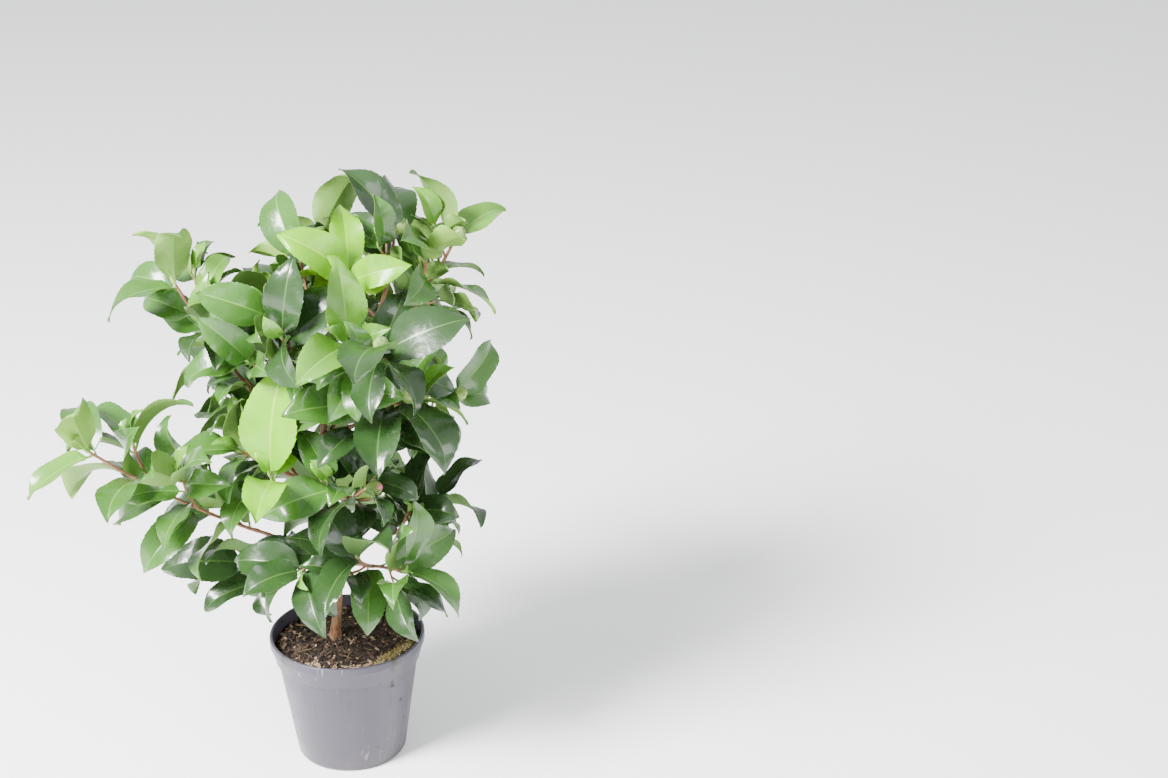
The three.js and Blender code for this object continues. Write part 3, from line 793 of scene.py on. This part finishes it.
class Room:
    """The limbs and leaves placed so far, each as points with a ball round them all."""

    def __init__(self):
        self.things = []
        self.balls = np.zeros((0, 4))

    def occupy(self, owner, points, clearance):
        points, centre, radius = ball_round(points)
        self.things.append((owner, points, clearance))
        self.balls = np.vstack([self.balls, [*centre, radius + clearance]])

    def blocked(self, owner, points, own_share=OWN_SHARE, share=1.0):
        """Whether something else is too near. The shares take less clearance, from the limb's own things
        or from all."""
        points, centre, radius = ball_round(points)
        apart = np.sqrt(((self.balls[:, :3] - centre) ** 2).sum(axis=1))
        for i in np.flatnonzero(apart <= self.balls[:, 3] + radius):
            other, there, clearance = self.things[i]
            clearance *= own_share * share if other == owner else share
            gaps = ((points[:, None, :] - there[None, :, :]) ** 2).sum(axis=2)
            if gaps.min() < clearance**2:
                return True
        return False


def halved(points):
    """A line's points and the points halfway between them."""
    middles = [(a + b) / 2 for a, b in zip(points, points[1:])]
    return [points[0], *(p for pair in zip(middles, points[1:]) for p in pair)]


def end_of(points):
    """The way that a bough's tip points, taken as in the solids from every second point."""
    line = [p for i, p in enumerate(points) if i % 2 == 0 or i == len(points) - 1]
    return unit(line[-1] - line[-2])


def twig_of(points, way, bare, size, draw):
    """A twig: its line, its heading, its bare start, the size of its leaves and the turn of the first."""
    return SimpleNamespace(points=points, way=way, bare=bare, size=size, phase=360 * draw(), budded=False)


def side_twig(limb, stem, k, draw):
    """A side twig leaves its stem at an angle and rises a little more with each step."""
    at = rounded((TWIG_FROM + k * TWIG_EVERY) / LIMB_STEP)
    way = limb.heading + (1 if k % 2 else -1) * within(draw, *TWIG_ANGLES)
    steps = rounded(within(draw, *TWIG_LENGTHS) / LIMB_STEP)
    rise = math.asin(unit(stem[at + 1] - stem[at])[2]) / DEGREE + TWIG_LIFT
    points = [stem[at]]
    for i in range(steps):
        points.append(points[i] + towards(way, min(rise + TWIG_BEND * i, TWIG_STEEPEST)) * LIMB_STEP)
    return twig_of(points, way, TWIG_BARE, limb.size * TWIG_LEAF_SIZE, draw)


def grow_twigs(limb):
    """The stem that goes on from the bough, and the side twigs from it that find room."""
    draw = seeded(limb.seed * 7919)
    stem = limb.stem
    twigs = [twig_of(stem, limb.heading, STEM_BARE, limb.size, draw)]
    for k in range(math.floor((LIMB_STEP * (len(stem) - 1) - TWIG_FREE_TIP) / TWIG_EVERY)):
        twig = side_twig(limb, stem, k, draw)
        if room.blocked(limb.name, twig.points[3:]) or twig.points[-1][2] < LOWEST_LEAF:
            continue
        room.occupy(limb.name, halved(twig.points[1:]), LIMB_CLEARANCE)
        twigs.append(twig)
    return twigs


def add_twig(limb, line, way, root=TWIG_RADIUS, tip=TWIG_TIP_RADIUS):
    """Adds a twig to the mesh of the brown ones or of the green shoots."""
    skin = tapered(line, root, tip, TWIG_COLLAR, limb.seed)
    add_limb(twig_meshes[limb.young], line, skin, level_side(way), TWIG_SIDES)


room = Room()
room.occupy("trunk", [trunk_point(z) for z in range(SOIL_TOP, FORK_HEIGHT, 4)], TRUNK_CLEARANCE)
for limb in limbs:
    bough, stem = limb.path[: limb.bare_steps + 1], limb.path[limb.bare_steps :]
    limb.stem = [stem[0] + end_of(bough) * GAP, *stem[1:]]
    limb.reach = REACH + LIMB_STEP * (len(stem) - 1)
    room.occupy(limb.name, halved(limb.path[1:]), LIMB_CLEARANCE)
for limb in limbs:
    limb.twigs = grow_twigs(limb)

twig_meshes = {False: bmesh.new(), True: bmesh.new()}
for limb in limbs:
    add_twig(limb, limb.curve[limb.bare_steps * SMOOTH_STEPS :], limb.heading, LIMB_TIP_RADIUS)
    for twig in limb.twigs[1:]:
        add_twig(limb, smoothed(twig.points), twig.way)

# The flower buds
# Fat round buds of 13 to 15 mm beside the tips of some twigs, pale green, of overlapping downy scales.
# The two that are about to open show a little pink between the tips of their scales.
BUD_RADIUS = 6.4
BUD_LENGTH = 15
BUD_ANGLE = 34
BUD_TURNS = (0, 60, -60, 120, -120, 180)
BUD_CLEARANCE = 8.9
BUD_STATIONS = (0, 0.1, 0.24, 0.36, 0.52, 0.72, 0.9, 1.04, 1.14, 1.2)
BUD_WIDTHS = (1.4, 1.5, 3.4, 5.2, 6.1, 6.2, 5.2, 3.6, 1.9, 0.25)
BUD_SCALES = 9
SCALE_THICKNESS = 0.3
SPIRAL_TURN = 137.5
PINK_BUDS = (1, 4)
PETALS = ((14.25, 4.2), (15.75, 3.6), (17.1, 2.3), (18, 0.6))


def ahead_of(points):
    return unit(points[-1] - points[-2])


def out_from(ahead, turn):
    """The way out from a twig at right angles to it, at a turn about it in degrees."""
    side = across(np.array([ahead[1], -ahead[0], 0.01]), ahead)
    return turned_about(side, np.cross(side, ahead), turn * DEGREE)


def bud_ring(bud, radius, count):
    up = np.cross(bud.right, bud.direction)
    return [
        bud.root + bud.direction * (t * BUD_LENGTH)
        + turned_about(up, bud.right, i / count * 2 * math.pi) * radius
        for t in (0.4, 0.8, 1.2)
        for i in range(count)
    ]


def place_bud(limb, k):
    """A bud sits at the first turn about its twig's tip where its skin is clear of the other limbs."""
    twig = limb.twigs[k % len(limb.twigs)]
    ahead = ahead_of(twig.points)
    for turn in BUD_TURNS:
        out = out_from(ahead, limb.seed * 77 + k * 180 + turn)
        direction = turned_about(ahead, out, BUD_ANGLE * DEGREE)
        bud = SimpleNamespace(root=twig.points[-1], direction=direction, right=across(SKY, direction))
        if not room.blocked(limb.name, bud_ring(bud, BUD_RADIUS, 8), own_share=0):
            room.occupy(limb.name, bud_ring(bud, 0, 1), BUD_CLEARANCE)
            twig.budded = True
            return bud
    return None


def add_round(bm, root, ahead, right, profile, sides):
    """A closed round form, from its radius at places along its axis."""
    line = [root + ahead * place for place, _ in profile]
    add_limb(bm, line, lambda row, angle: profile[row][1], right, sides)


def add_scale(bm, bud, k):
    """A pointed scale: a small sheet bent round the bud. Later scales start and end higher."""
    low = 0.2 + 0.085 * (k // 2)
    high = min(low + 0.5 + 0.05 * k, 1.19)
    up = np.cross(bud.right, bud.direction)
    for vert in bmesh.ops.create_grid(bm, x_segments=5, y_segments=4, size=0.5)["verts"]:
        t = vert.co.x + 0.5
        height = low + (high - low) * t
        radius = np.interp(height, BUD_STATIONS, BUD_WIDTHS) + 0.35 + 0.25 * math.sin(math.pi * min(t, 0.9))
        angle = SPIRAL_TURN * k * DEGREE + 2 * vert.co.y * (0.95 * (1 - t**2.2) + 0.02)
        radial = turned_about(up, bud.right, angle)
        vert.co = bud.root + bud.direction * (height * BUD_LENGTH) + radial * radius


def bud_skin(name, dark, light):
    made = Finish(name, Sheen_Weight=0.2)
    down = made.grain(300, 4)
    return made.mottled(down, dark, light, 0.42, 0.2, down, 0.2)


flower_buds = []
for limb in limbs:
    flower_buds += [bud for k in range(limb.buds) if (bud := place_bud(limb, k))]
body_profile = [(t * BUD_LENGTH, 0.94 * width) for t, width in zip(BUD_STATIONS, BUD_WIDTHS)]
bud_bodies, scales, petals = bmesh.new(), bmesh.new(), bmesh.new()
for number, bud in enumerate(flower_buds):
    stand = (bud.root, bud.direction, bud.right)
    add_round(bud_bodies, *stand, body_profile, 16)
    for k in range(BUD_SCALES):
        add_scale(scales, bud, k)
    if number in PINK_BUDS:
        add_round(petals, *stand, PETALS, 12)
bmesh.ops.recalc_face_normals(scales, faces=scales.faces)
bmesh.ops.solidify(scales, geom=scales.faces[:], thickness=SCALE_THICKNESS)
piece("flower_buds", bud_bodies, bud_skin("bud_green", (0.1, 0.2, 0.03), (0.2, 0.31, 0.07)), "leaf")
piece("bud_scales", scales, bud_skin("bud_scale", (0.13, 0.24, 0.035), (0.26, 0.37, 0.09)), "leaf")
piece("bud_petals", petals, bud_skin("bud_pink", (0.55, 0.07, 0.14), (0.75, 0.2, 0.28)), "leaf")

# The places of the large leaves
# Leaves of 5 to 8 cm sit in a spiral along each stem and twig, with three close together at its tip.
# Each stands on a stalk of 7 mm, bends back, and turns its face to the light above and outside the crown.
LEAF_LENGTHS = (52, 76)
LEAF_WIDTHS = (0.5, 0.6)
LEAF_PETIOLE = 7
LEAF_CLEARANCE = 6.4
LEAF_EVERY = 20
LEAF_ANGLE = 58
CLUSTER_ANGLES = (28, 42, 56)
CLUSTER_SINK = 0.5
CLUSTER_STEP = 3.5
LEAF_TURNS = (0, 24, -24, 50, -50, 80, -80, 115, -115, 150)
LEAF_ROLL = 20
LEAF_LIFTS = (0.3, -0.2)
LEAF_BENDS = {False: (0.45, 0.95), True: (0.3, 0.8)}
LEAF_CURLS = (0.04, 0.12)
LEAF_FOLDS = (14, 32)
LIGHT_OUTWARD = 0.55
LIGHT_ABOVE = 0.75
LIGHT_STRAY = 0.6
WIDEST_AT = 0.44
BASE_FULLNESS = 0.58
TIP_FULLNESS = BASE_FULLNESS * (1 - WIDEST_AT) / WIDEST_AT
UPTURN = 0.5
LATTICE_ROWS = 12
LATTICE_COLUMNS = 4
LATTICE_FROM = 0.22


def site_on(limb, twig, node, ahead, turn, angle, rank):
    """A place for a leaf, at a turn about its twig and an angle from it. The lowest ranks are the newest."""
    turn += twig.phase
    return SimpleNamespace(**locals(), size=twig.size)


def leaf_sites(limb, twig):
    """Where a twig's leaves sit: in a cluster at its tip, and in a spiral along it."""
    points = twig.points
    nodes = max(math.floor((LIMB_STEP * (len(points) - 1) - twig.bare) / LEAF_EVERY), 0)
    ahead = ahead_of(points)
    sites = []
    for k, angle in enumerate(CLUSTER_ANGLES):
        node = points[-1] - ahead * (CLUSTER_SINK + CLUSTER_STEP * k)
        sites.append(site_on(limb, twig, node, ahead, (nodes + k) * SPIRAL_TURN, angle, k))
    for k in range(nodes):
        at = min(rounded((twig.bare + k * LEAF_EVERY) / LIMB_STEP), len(points) - 2)
        tangent = unit(points[at + 1] - points[at])
        sites.append(site_on(limb, twig, points[at], tangent, k * SPIRAL_TURN, LEAF_ANGLE, 2 + nodes - k))
    return sites


def leaf_half_width(leaf, u):
    inside = np.clip(u, 1e-9, 1 - 1e-9)
    rising = (inside / WIDEST_AT) ** BASE_FULLNESS
    falling = ((1 - inside) / (1 - WIDEST_AT)) ** TIP_FULLNESS
    return np.where((u <= 0) | (u >= 1), 0, leaf.width / 2 * rising * falling)


def leaf_points(leaf, mm, side):
    """Points of a leaf, and the way that its face looks there. mm counts from the twig along the leaf, and
    side goes from -1 to 1 across it."""
    u = np.maximum((mm - LEAF_PETIOLE) / leaf.length, 0)
    bend = leaf.bend * u
    radius = leaf.length / leaf.bend
    reach = np.minimum(mm, LEAF_PETIOLE) + radius * np.sin(bend)
    drop = radius * (1 - np.cos(bend)) + leaf.curl * leaf.length * u**4
    half = leaf_half_width(leaf, u)
    lift = half * np.abs(side) * (1 - 0.25 * np.abs(side)) * math.sin(leaf.fold)
    face = np.outer(np.cos(bend), leaf.normal) + np.outer(np.sin(bend), leaf.direction)
    points = (
        leaf.root
        + np.outer(reach, leaf.direction)
        - np.outer(drop, leaf.normal)
        + np.outer(half * side * math.cos(leaf.fold), leaf.right)
        + face * lift[:, None]
    )
    return points, face


lattice_along, lattice_side = np.meshgrid(
    LATTICE_FROM + (1 - LATTICE_FROM) * np.arange(LATTICE_ROWS + 1) / LATTICE_ROWS,
    np.arange(-LATTICE_COLUMNS, LATTICE_COLUMNS + 1) / LATTICE_COLUMNS,
    indexing="ij",
)


def place_leaf(site, index, salt=0, share=1.0, smaller=1.0):
    """A leaf at its site, at the first of a few turns about the twig where it is free."""
    limb = site.limb
    draw = seeded(limb.seed * 65537 + index * 257 + salt)
    leaf = SimpleNamespace(site=site, root=site.node)
    leaf.length = within(draw, *LEAF_LENGTHS) * site.size * smaller
    roll = within(draw, -LEAF_ROLL, LEAF_ROLL) * DEGREE
    lift = within(draw, *LEAF_LIFTS)
    leaf.width = leaf.length * within(draw, *LEAF_WIDTHS)
    leaf.bend = within(draw, *LEAF_BENDS[limb.young])
    leaf.curl = within(draw, *LEAF_CURLS)
    leaf.fold = within(draw, *LEAF_FOLDS) * DEGREE
    outward = across(np.array([leaf.root[0], leaf.root[1], 0.0]), SKY)
    light = outward * LIGHT_OUTWARD + SKY * LIGHT_ABOVE + towards(360 * draw(), 0) * LIGHT_STRAY
    along = lattice_along.ravel() * (LEAF_PETIOLE + leaf.length)
    for extra in LEAF_TURNS:
        out = out_from(site.ahead, site.turn + extra)
        direction = turned_about(site.ahead, out, site.angle * DEGREE) + SKY * lift
        if direction[2] < 0:
            direction[2] *= UPTURN
        leaf.direction = unit(direction)
        flat = across(light, leaf.direction)
        leaf.normal = turned_about(flat, np.cross(leaf.direction, flat), roll)
        leaf.right = np.cross(leaf.direction, leaf.normal)
        points = leaf_points(leaf, along, lattice_side.ravel())[0]
        far = ((points - limb.stem[-1]) ** 2).sum(axis=1).max() > limb.reach**2
        if far or points[:, 2].min() < LOWEST_LEAF or room.blocked(limb.name, points, share=share):
            continue
        room.occupy(limb.name, points, LEAF_CLEARANCE)
        return leaf
    return None


sites = []
for limb in limbs:
    own = [site for twig in limb.twigs for site in leaf_sites(limb, twig)]
    for index, site in enumerate(own):
        site.index = index
    sites += own
sites.sort(key=lambda site: (site.rank, site.limb.seed, site.index))
leaves = [leaf for site in sites if (leaf := place_leaf(site, site.index))]

# The fine twigs
# Thin twigs in the thick of the crown, each with a few leaves; the long arms stay open.
# All twigs have the same thin red-brown bark, apart from the green shoots.
SPUR_WITHIN = 125
SPUR_STEPS = 3
SPUR_EVERY = 3
SPUR_ANGLE = 50
SPUR_BEND = 0.18
SPUR_BARE = 5
SPUR_SIZE = 0.64
SPUR_SHARE = 0.5
SPUR_CLEARANCE = 2.6
SPUR_RADIUS = 1.1
SPUR_TIP_RADIUS = 0.85
INSET = 4
low_corner, high_corner = (np.array(corner) / MM for corner in solids_box)


def fine_twig(limb, twig, at, draw):
    """A short thin twig that leaves a twig at a random turn and bends up."""
    points = [twig.points[at]]
    ahead = unit(twig.points[at + 1] - points[0])
    way = turned_about(ahead, out_from(ahead, 360 * draw()), SPUR_ANGLE * DEGREE)
    for i in range(SPUR_STEPS):
        points.append(points[i] + unit(way + SKY * SPUR_BEND * i) * LIMB_STEP)
    return twig_of(points, twig.way, SPUR_BARE, limb.size * SPUR_SIZE, draw)


def small_leaf(site, index, salt, share, smaller=1.0):
    """A leaf that stands closer to the others, if it stays within the box that the solids fill."""
    leaf = place_leaf(site, index, salt, share, smaller)
    if not leaf:
        return None
    points = leaf_points(leaf, np.linspace(0, LEAF_PETIOLE + leaf.length, 9), np.zeros(9))[0]
    inside = (points > low_corner + INSET).all() and (points < high_corner - INSET).all()
    return leaf if inside else None


for limb in limbs:
    draw = seeded(limb.seed * 104729)
    limb.spurs = []
    for twig in limb.twigs:
        for at in range(2, len(twig.points) - 2, SPUR_EVERY):
            spur = fine_twig(limb, twig, at, draw)
            outside = math.hypot(*spur.points[-1][:2]) > SPUR_WITHIN
            if outside or room.blocked(limb.name, spur.points[2:], share=SPUR_SHARE):
                continue
            first = 2000 + 10 * len(limb.spurs)
            numbered = enumerate(leaf_sites(limb, spur), first)
            grown = [leaf for index, site in numbered if (leaf := small_leaf(site, index, 3, SPUR_SHARE))]
            if grown:
                leaves += grown
                limb.spurs.append(spur)
                room.occupy(limb.name, halved(spur.points[1:]), SPUR_CLEARANCE)
                add_twig(limb, smoothed(spur.points), spur.way, SPUR_RADIUS, SPUR_TIP_RADIUS)

twig_bark = wood("twig_bark", (0.2, 0.085, 0.045), (0.36, 0.165, 0.09), (0.25, 0.2, 0.09))
piece("twigs", twig_meshes[False], twig_bark, "bark", sharp=60)
green_skin = clouded("green_shoot", 90, (0.14, 0.26, 0.04), (0.3, 0.42, 0.08), 0.45)
piece("young_shoots", twig_meshes[True], green_skin, "young_leaf", sharp=60)

# The leaves
# Thick glossy oval blades, dark above and paler and duller below, with a pale midrib and finely toothed
# margins. Each is folded along its midrib and drawn out to a short hooked tip. Small leaves fill the places
# that the large ones leave free, and a pair of new ones stands at each tip that has no bud. Sprays low and
# near the axis more often take the darker colours, as painted shade, and those high and outside the lighter
# ones, as painted light.
FILL_ROUNDS = ((1, 0.62, 0.86), (2, 0.45, 0.66))
PAIR_ANGLE = 16
PAIR_SHARE = 0.25
PAIR_SIZES = (0.36, 0.46)
TEMPLATE_STATIONS = (-1, 0, 0.05, 0.13, 0.23, 0.34, 0.46, 0.58, 0.7, 0.81, 0.91, 1)
TEMPLATE_SIDES = (-1, -0.55, -0.04, 0.04, 0.55, 1)
BLADE_THICKNESS = 0.5
STALK_WIDTH = 0.85
STALK_THICKNESS = 1.7
VEIN_RELIEF = 0.35
VEIN_SLANT = 0.07
RIB_RELIEF = 0.35
WAVINESS = 0.042
TWIST = 22
TIP_PINCH = 0.42
PINCHED_FROM = 0.76
TIP_HOOK = 0.1
HOOKED_FROM = 0.72
TOOTH = 0.035
TOOTH_STEPS = ((0.38, 1), (0.5, 0), (0.88, 1))
# How much painted shade a spray gets: most low and near the axis, less outward and higher up.
SHADE_INSIDE = 1.32
SHADE_REACH = 260
SHADE_HEIGHT = 430
# The first three kinds are darker and lighter tones of one green; the darker stand partly for painted shade
# and the lighter partly for painted light.
# For each kind the colours of its face, back and midrib, the roughness of its face and its coat.
LEAF_KINDS = {
    "deep": ((0.019, 0.05, 0.012), (0.075, 0.15, 0.035), (0.06, 0.13, 0.028), 0.19, 0.35),
    "green": ((0.042, 0.125, 0.016), (0.13, 0.25, 0.045), (0.11, 0.25, 0.04), 0.2, 0.35),
    "fresh": ((0.09, 0.235, 0.02), (0.18, 0.34, 0.05), (0.19, 0.37, 0.06), 0.22, 0.3),
    "young": ((0.135, 0.37, 0.0), (0.18, 0.39, 0.004), (0.28, 0.5, 0.03), 0.27, 0.15),
}

for salt, share, smaller in FILL_ROUNDS:
    taken = {id(leaf.site) for leaf in leaves}
    free = [site for site in sites if id(site) not in taken]
    leaves += [leaf for site in free if (leaf := small_leaf(site, site.index, salt, share, smaller))]
for limb in limbs:
    for k, twig in enumerate(limb.twigs):
        for pair, size in enumerate(() if twig.budded else PAIR_SIZES):
            tip = twig.points[-1], ahead_of(twig.points)
            site = site_on(limb, twig, *tip, 90 + 180 * pair, PAIR_ANGLE, -1)
            site.size = 1
            leaf = small_leaf(site, 900 + 2 * k + pair, 0, PAIR_SHARE, size)
            leaves += [leaf] if leaf else []


def cut_teeth(bm):
    """Splits each step of the blade's margins into two saw teeth that point to the tip."""
    for edge in [e for e in bm.edges if all(abs(v.co.y) > 0.9 and v.co.x > 0.04 for v in e.verts)]:
        start, end = sorted(edge.verts, key=lambda v: v.co.x)
        first, step = start.co.x, end.co.x - start.co.x
        for share, proud in TOOTH_STEPS:
            start = bmesh.utils.edge_split(edge, start, 0.5)[1]
            start.co.x = first + share * step
            start.co.y *= 1 + TOOTH * proud
            edge = next(e for e in start.link_edges if end in e.verts)
    bmesh.ops.triangulate(bm, faces=[f for f in bm.faces if len(f.verts) > 4])


def leaf_template():
    """A flat leaf as a thin closed plate: a grid whose columns run along it, with toothed margins, thickened
    by one extrusion. x is the station, y the side, and z is 1 on its face and -1 on its back. Material 0 is
    the face, 1 the back and 2 the midrib and stalk."""
    columns, rows = len(TEMPLATE_STATIONS) - 1, len(TEMPLATE_SIDES) - 1
    bm = bmesh.new()
    bmesh.ops.create_grid(bm, x_segments=columns, y_segments=rows, size=0.5)
    for vert in bm.verts:
        station = rounded((vert.co.x + 0.5) * columns)
        vert.co = (TEMPLATE_STATIONS[station], TEMPLATE_SIDES[rounded((vert.co.y + 0.5) * rows)], 1)
    cut_teeth(bm)
    grown = bmesh.ops.extrude_face_region(bm, geom=bm.faces[:], use_keep_orig=True)["geom"]
    for vert in (g for g in grown if isinstance(g, bmesh.types.BMVert)):
        vert.co.z = -1
    bmesh.ops.recalc_face_normals(bm, faces=bm.faces)
    for face in bm.faces:
        middle = face.calc_center_median()
        rib = abs(middle.y) < 0.01 or middle.x < 0
        face.material_index = 2 if rib else (1 if middle.z < 0.5 else 0)
        face.normal_flip()
    return mesh_of("leaf_template", bm)


template = leaf_template()
flat_station, flat_side, flat_layer = np.array([vert.co[:] for vert in template.vertices]).T
flat_row = np.searchsorted(np.array(TEMPLATE_STATIONS) + 1e-4, flat_station)


def past(along, start):
    """0 up to start, and from there evenly up to 1 at the tip."""
    return np.clip((along - start) / (1 - start), 0, 1)


def dress_leaf(bm, leaf, draw):
    """Adds a leaf: the template laid on its curved blade, with veins, wavy margins and a drawn-out tip."""
    u = np.maximum(flat_station, 0)
    off = np.abs(flat_side)
    slant = VEIN_SLANT * off * np.sin(math.pi * u) ** 0.5
    along = np.where(flat_station < 0, 0, np.clip(u + slant * (u < 1), 0, 1))
    mm = np.where(flat_station < 0, (1 + flat_station) * LEAF_PETIOLE, LEAF_PETIOLE + along * leaf.length)
    pinch = 1 - TIP_PINCH * past(along, PINCHED_FROM) ** 1.4
    points, face = leaf_points(leaf, mm, flat_side * pinch)
    points += np.outer(flat_side * STALK_WIDTH * np.clip(1 - 1.6 * along, 0.25, 1), leaf.right)
    thick = np.where(flat_station <= 0, STALK_THICKNESS, BLADE_THICKNESS) / 2 * np.where(off > 0.9, 0.5, 1)
    rib = -RIB_RELIEF * (off < 0.1) * np.clip(1.2 - along, 0, 1) * np.where(flat_layer < 0, 2.4, 0.5)
    vein = VEIN_RELIEF * np.where(flat_row % 2, 1, -1) * ((off > 0.3) & (off < 0.9))
    wave = WAVINESS * np.sin(along * (7 + 4 * draw()) + 6 * draw() + flat_side) * flat_side**2
    turn = np.sin((draw() - 0.5) * 2 * TWIST * DEGREE * along)
    twist = turn * flat_side * leaf_half_width(leaf, along) / leaf.length
    hook = -TIP_HOOK * (0.3 + draw()) * past(along, HOOKED_FROM) ** 2
    swell = leaf.length * (wave + twist + hook)
    points += face * (flat_layer * thick + rib + (vein + swell) * (u > 0))[:, None]
    old = len(bm.verts)
    bm.from_mesh(template)
    bm.verts.ensure_lookup_table()
    for vert, place in zip(bm.verts[old:], points):
        vert.co = place


def leaf_finishes(name, face, back, rib, gloss, coat):
    """The three materials of a kind of leaf: glossy face, duller back, and midrib with stalk."""
    upper = Finish(f"{name}_leaf_face", Coat_Weight=coat, Coat_Roughness=gloss * 0.5, Specular_IOR_Level=0.4)
    lower = Finish(f"{name}_leaf_back", Specular_IOR_Level=0.35)
    middle = Finish(f"{name}_leaf_rib")
    ripple, pores = upper.grain(220, 2), lower.grain(900, 3)
    return [
        *upper.mottled(upper.grain(55, 4), shaded(face, 0.78), shaded(face, 1.2), gloss, 0.16, ripple, 0.28),
        *lower.mottled(lower.grain(80, 4), shaded(back, 0.85), shaded(back, 1.15), 0.5, 0.2, pores, 0.2),
        *middle.mottled(middle.grain(120, 3), shaded(rib, 0.8), rib, gloss, 0.2),
    ]


def kind_of(leaf, draw):
    """Which of the leaf colours a spray takes: darker tones, as painted shade, more often low and near the
    axis, and lighter ones, as painted light, more often high and outside. Its newest leaves may be one step
    lighter, most often where the painted shade is least.
    """
    site = leaf.site
    if site.limb.young:
        return "young"
    if site.rank < 0:
        return "fresh"
    x, y, z = site.twig.points[-1]
    # shade is the painted shade that the spray's tip gets from its place in the crown.
    shade = SHADE_INSIDE - math.hypot(x, y) / SHADE_REACH - (z - POT_HEIGHT) / SHADE_HEIGHT
    step = 0 if seeded(site.limb.seed * 31 + int(site.twig.phase))() < shade else 1
    if site.rank < 2 and draw() < 0.4 - 0.3 * shade:
        step += 1
    return ("deep", "green", "fresh")[step]


leaf_meshes = {kind: bmesh.new() for kind in LEAF_KINDS}
for number, leaf in enumerate(leaves):
    draw = seeded(number * 101 + 5)
    dress_leaf(leaf_meshes[kind_of(leaf, draw)], leaf, draw)
for kind, look in LEAF_KINDS.items():
    young = kind == "young"
    slot = "young_leaf" if young else "leaf"
    made = piece(f"leaves_{kind}", leaf_meshes[kind], leaf_finishes(kind, *look), slot, sharp=60)
    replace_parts(made, *(f"leaves_{limb.name}" for limb in limbs if limb.young == young))

# The leaf buds
# A slim pointed bud of a centimetre ends every twig, pale green and of the same downy skin as the flower
# buds. Next year's shoot grows from it.
LEAF_BUD_PROFILE = ((0, 1.1), (1.5, 1.5), (3.5, 1.9), (6, 1.5), (8.5, 0.8), (10.5, 0.15))
leaf_buds = bmesh.new()
for limb in limbs:
    for twig in limb.twigs + limb.spurs:
        ahead = ahead_of(twig.points)
        add_round(leaf_buds, twig.points[-1], ahead, across(SKY, ahead), LEAF_BUD_PROFILE, 8)
piece("leaf_buds", leaf_buds, bud_skin("bud_tip", (0.22, 0.34, 0.05), (0.42, 0.52, 0.12)), "leaf")

# The floor, the light and the camera
# A plain pale floor under a soft studio light, seen from the front and a little above.
FLOOR_SIZE = 16
SKY_COLOR = (0.96, 0.98, 1, 1)
SKY_STRENGTH = 1.2
CAMERA_PLACE = (0.23, -1.786, 1.14)
CAMERA_PITCH = 23
PHOTO_WIDTH = 1168
FOCAL_PIXELS = 2100
SENSOR_WIDTH = 36

plane = bmesh.new()
bmesh.ops.create_grid(plane, x_segments=1, y_segments=1, size=FLOOR_SIZE / 2)
floor = placed("floor", mesh_of("floor", plane))
pale = clouded("pale_floor", 3, (0.93, 0.93, 0.93), (0.95, 0.95, 0.95), 0.9, Specular_IOR_Level=0.1)
floor.data.materials.append(*pale)
floor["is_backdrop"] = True

world = bpy.data.worlds.new("studio")
world.use_nodes = True
backdrop = world.node_tree.nodes["Background"]
backdrop.inputs["Color"].default_value = SKY_COLOR
backdrop.inputs["Strength"].default_value = SKY_STRENGTH
bpy.context.scene.world = world


def soft_light(name, place, target, size, power):
    data = bpy.data.lights.new(name, "AREA")
    data.size = size
    data.energy = power
    lamp = placed(name, data)
    lamp.location = place
    lamp.rotation_euler = (Vector(target) - Vector(place)).to_track_quat("-Z", "Y").to_euler()


soft_light("key", (-1.5, -1.3, 2.1), (0, 0, 0.35), 1.0, 440)
soft_light("fill", (1.6, -1.4, 1.5), (0, 0, 0.3), 1.2, 30)

lens = bpy.data.cameras.new("camera")
lens.sensor_width = SENSOR_WIDTH
lens.lens = FOCAL_PIXELS / PHOTO_WIDTH * SENSOR_WIDTH
camera = placed("camera", lens)
camera.location = CAMERA_PLACE
camera.rotation_euler = ((90 - CAMERA_PITCH) * DEGREE, 0, 0)
bpy.context.scene.camera = camera

dressed_box = [list(corner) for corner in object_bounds()]
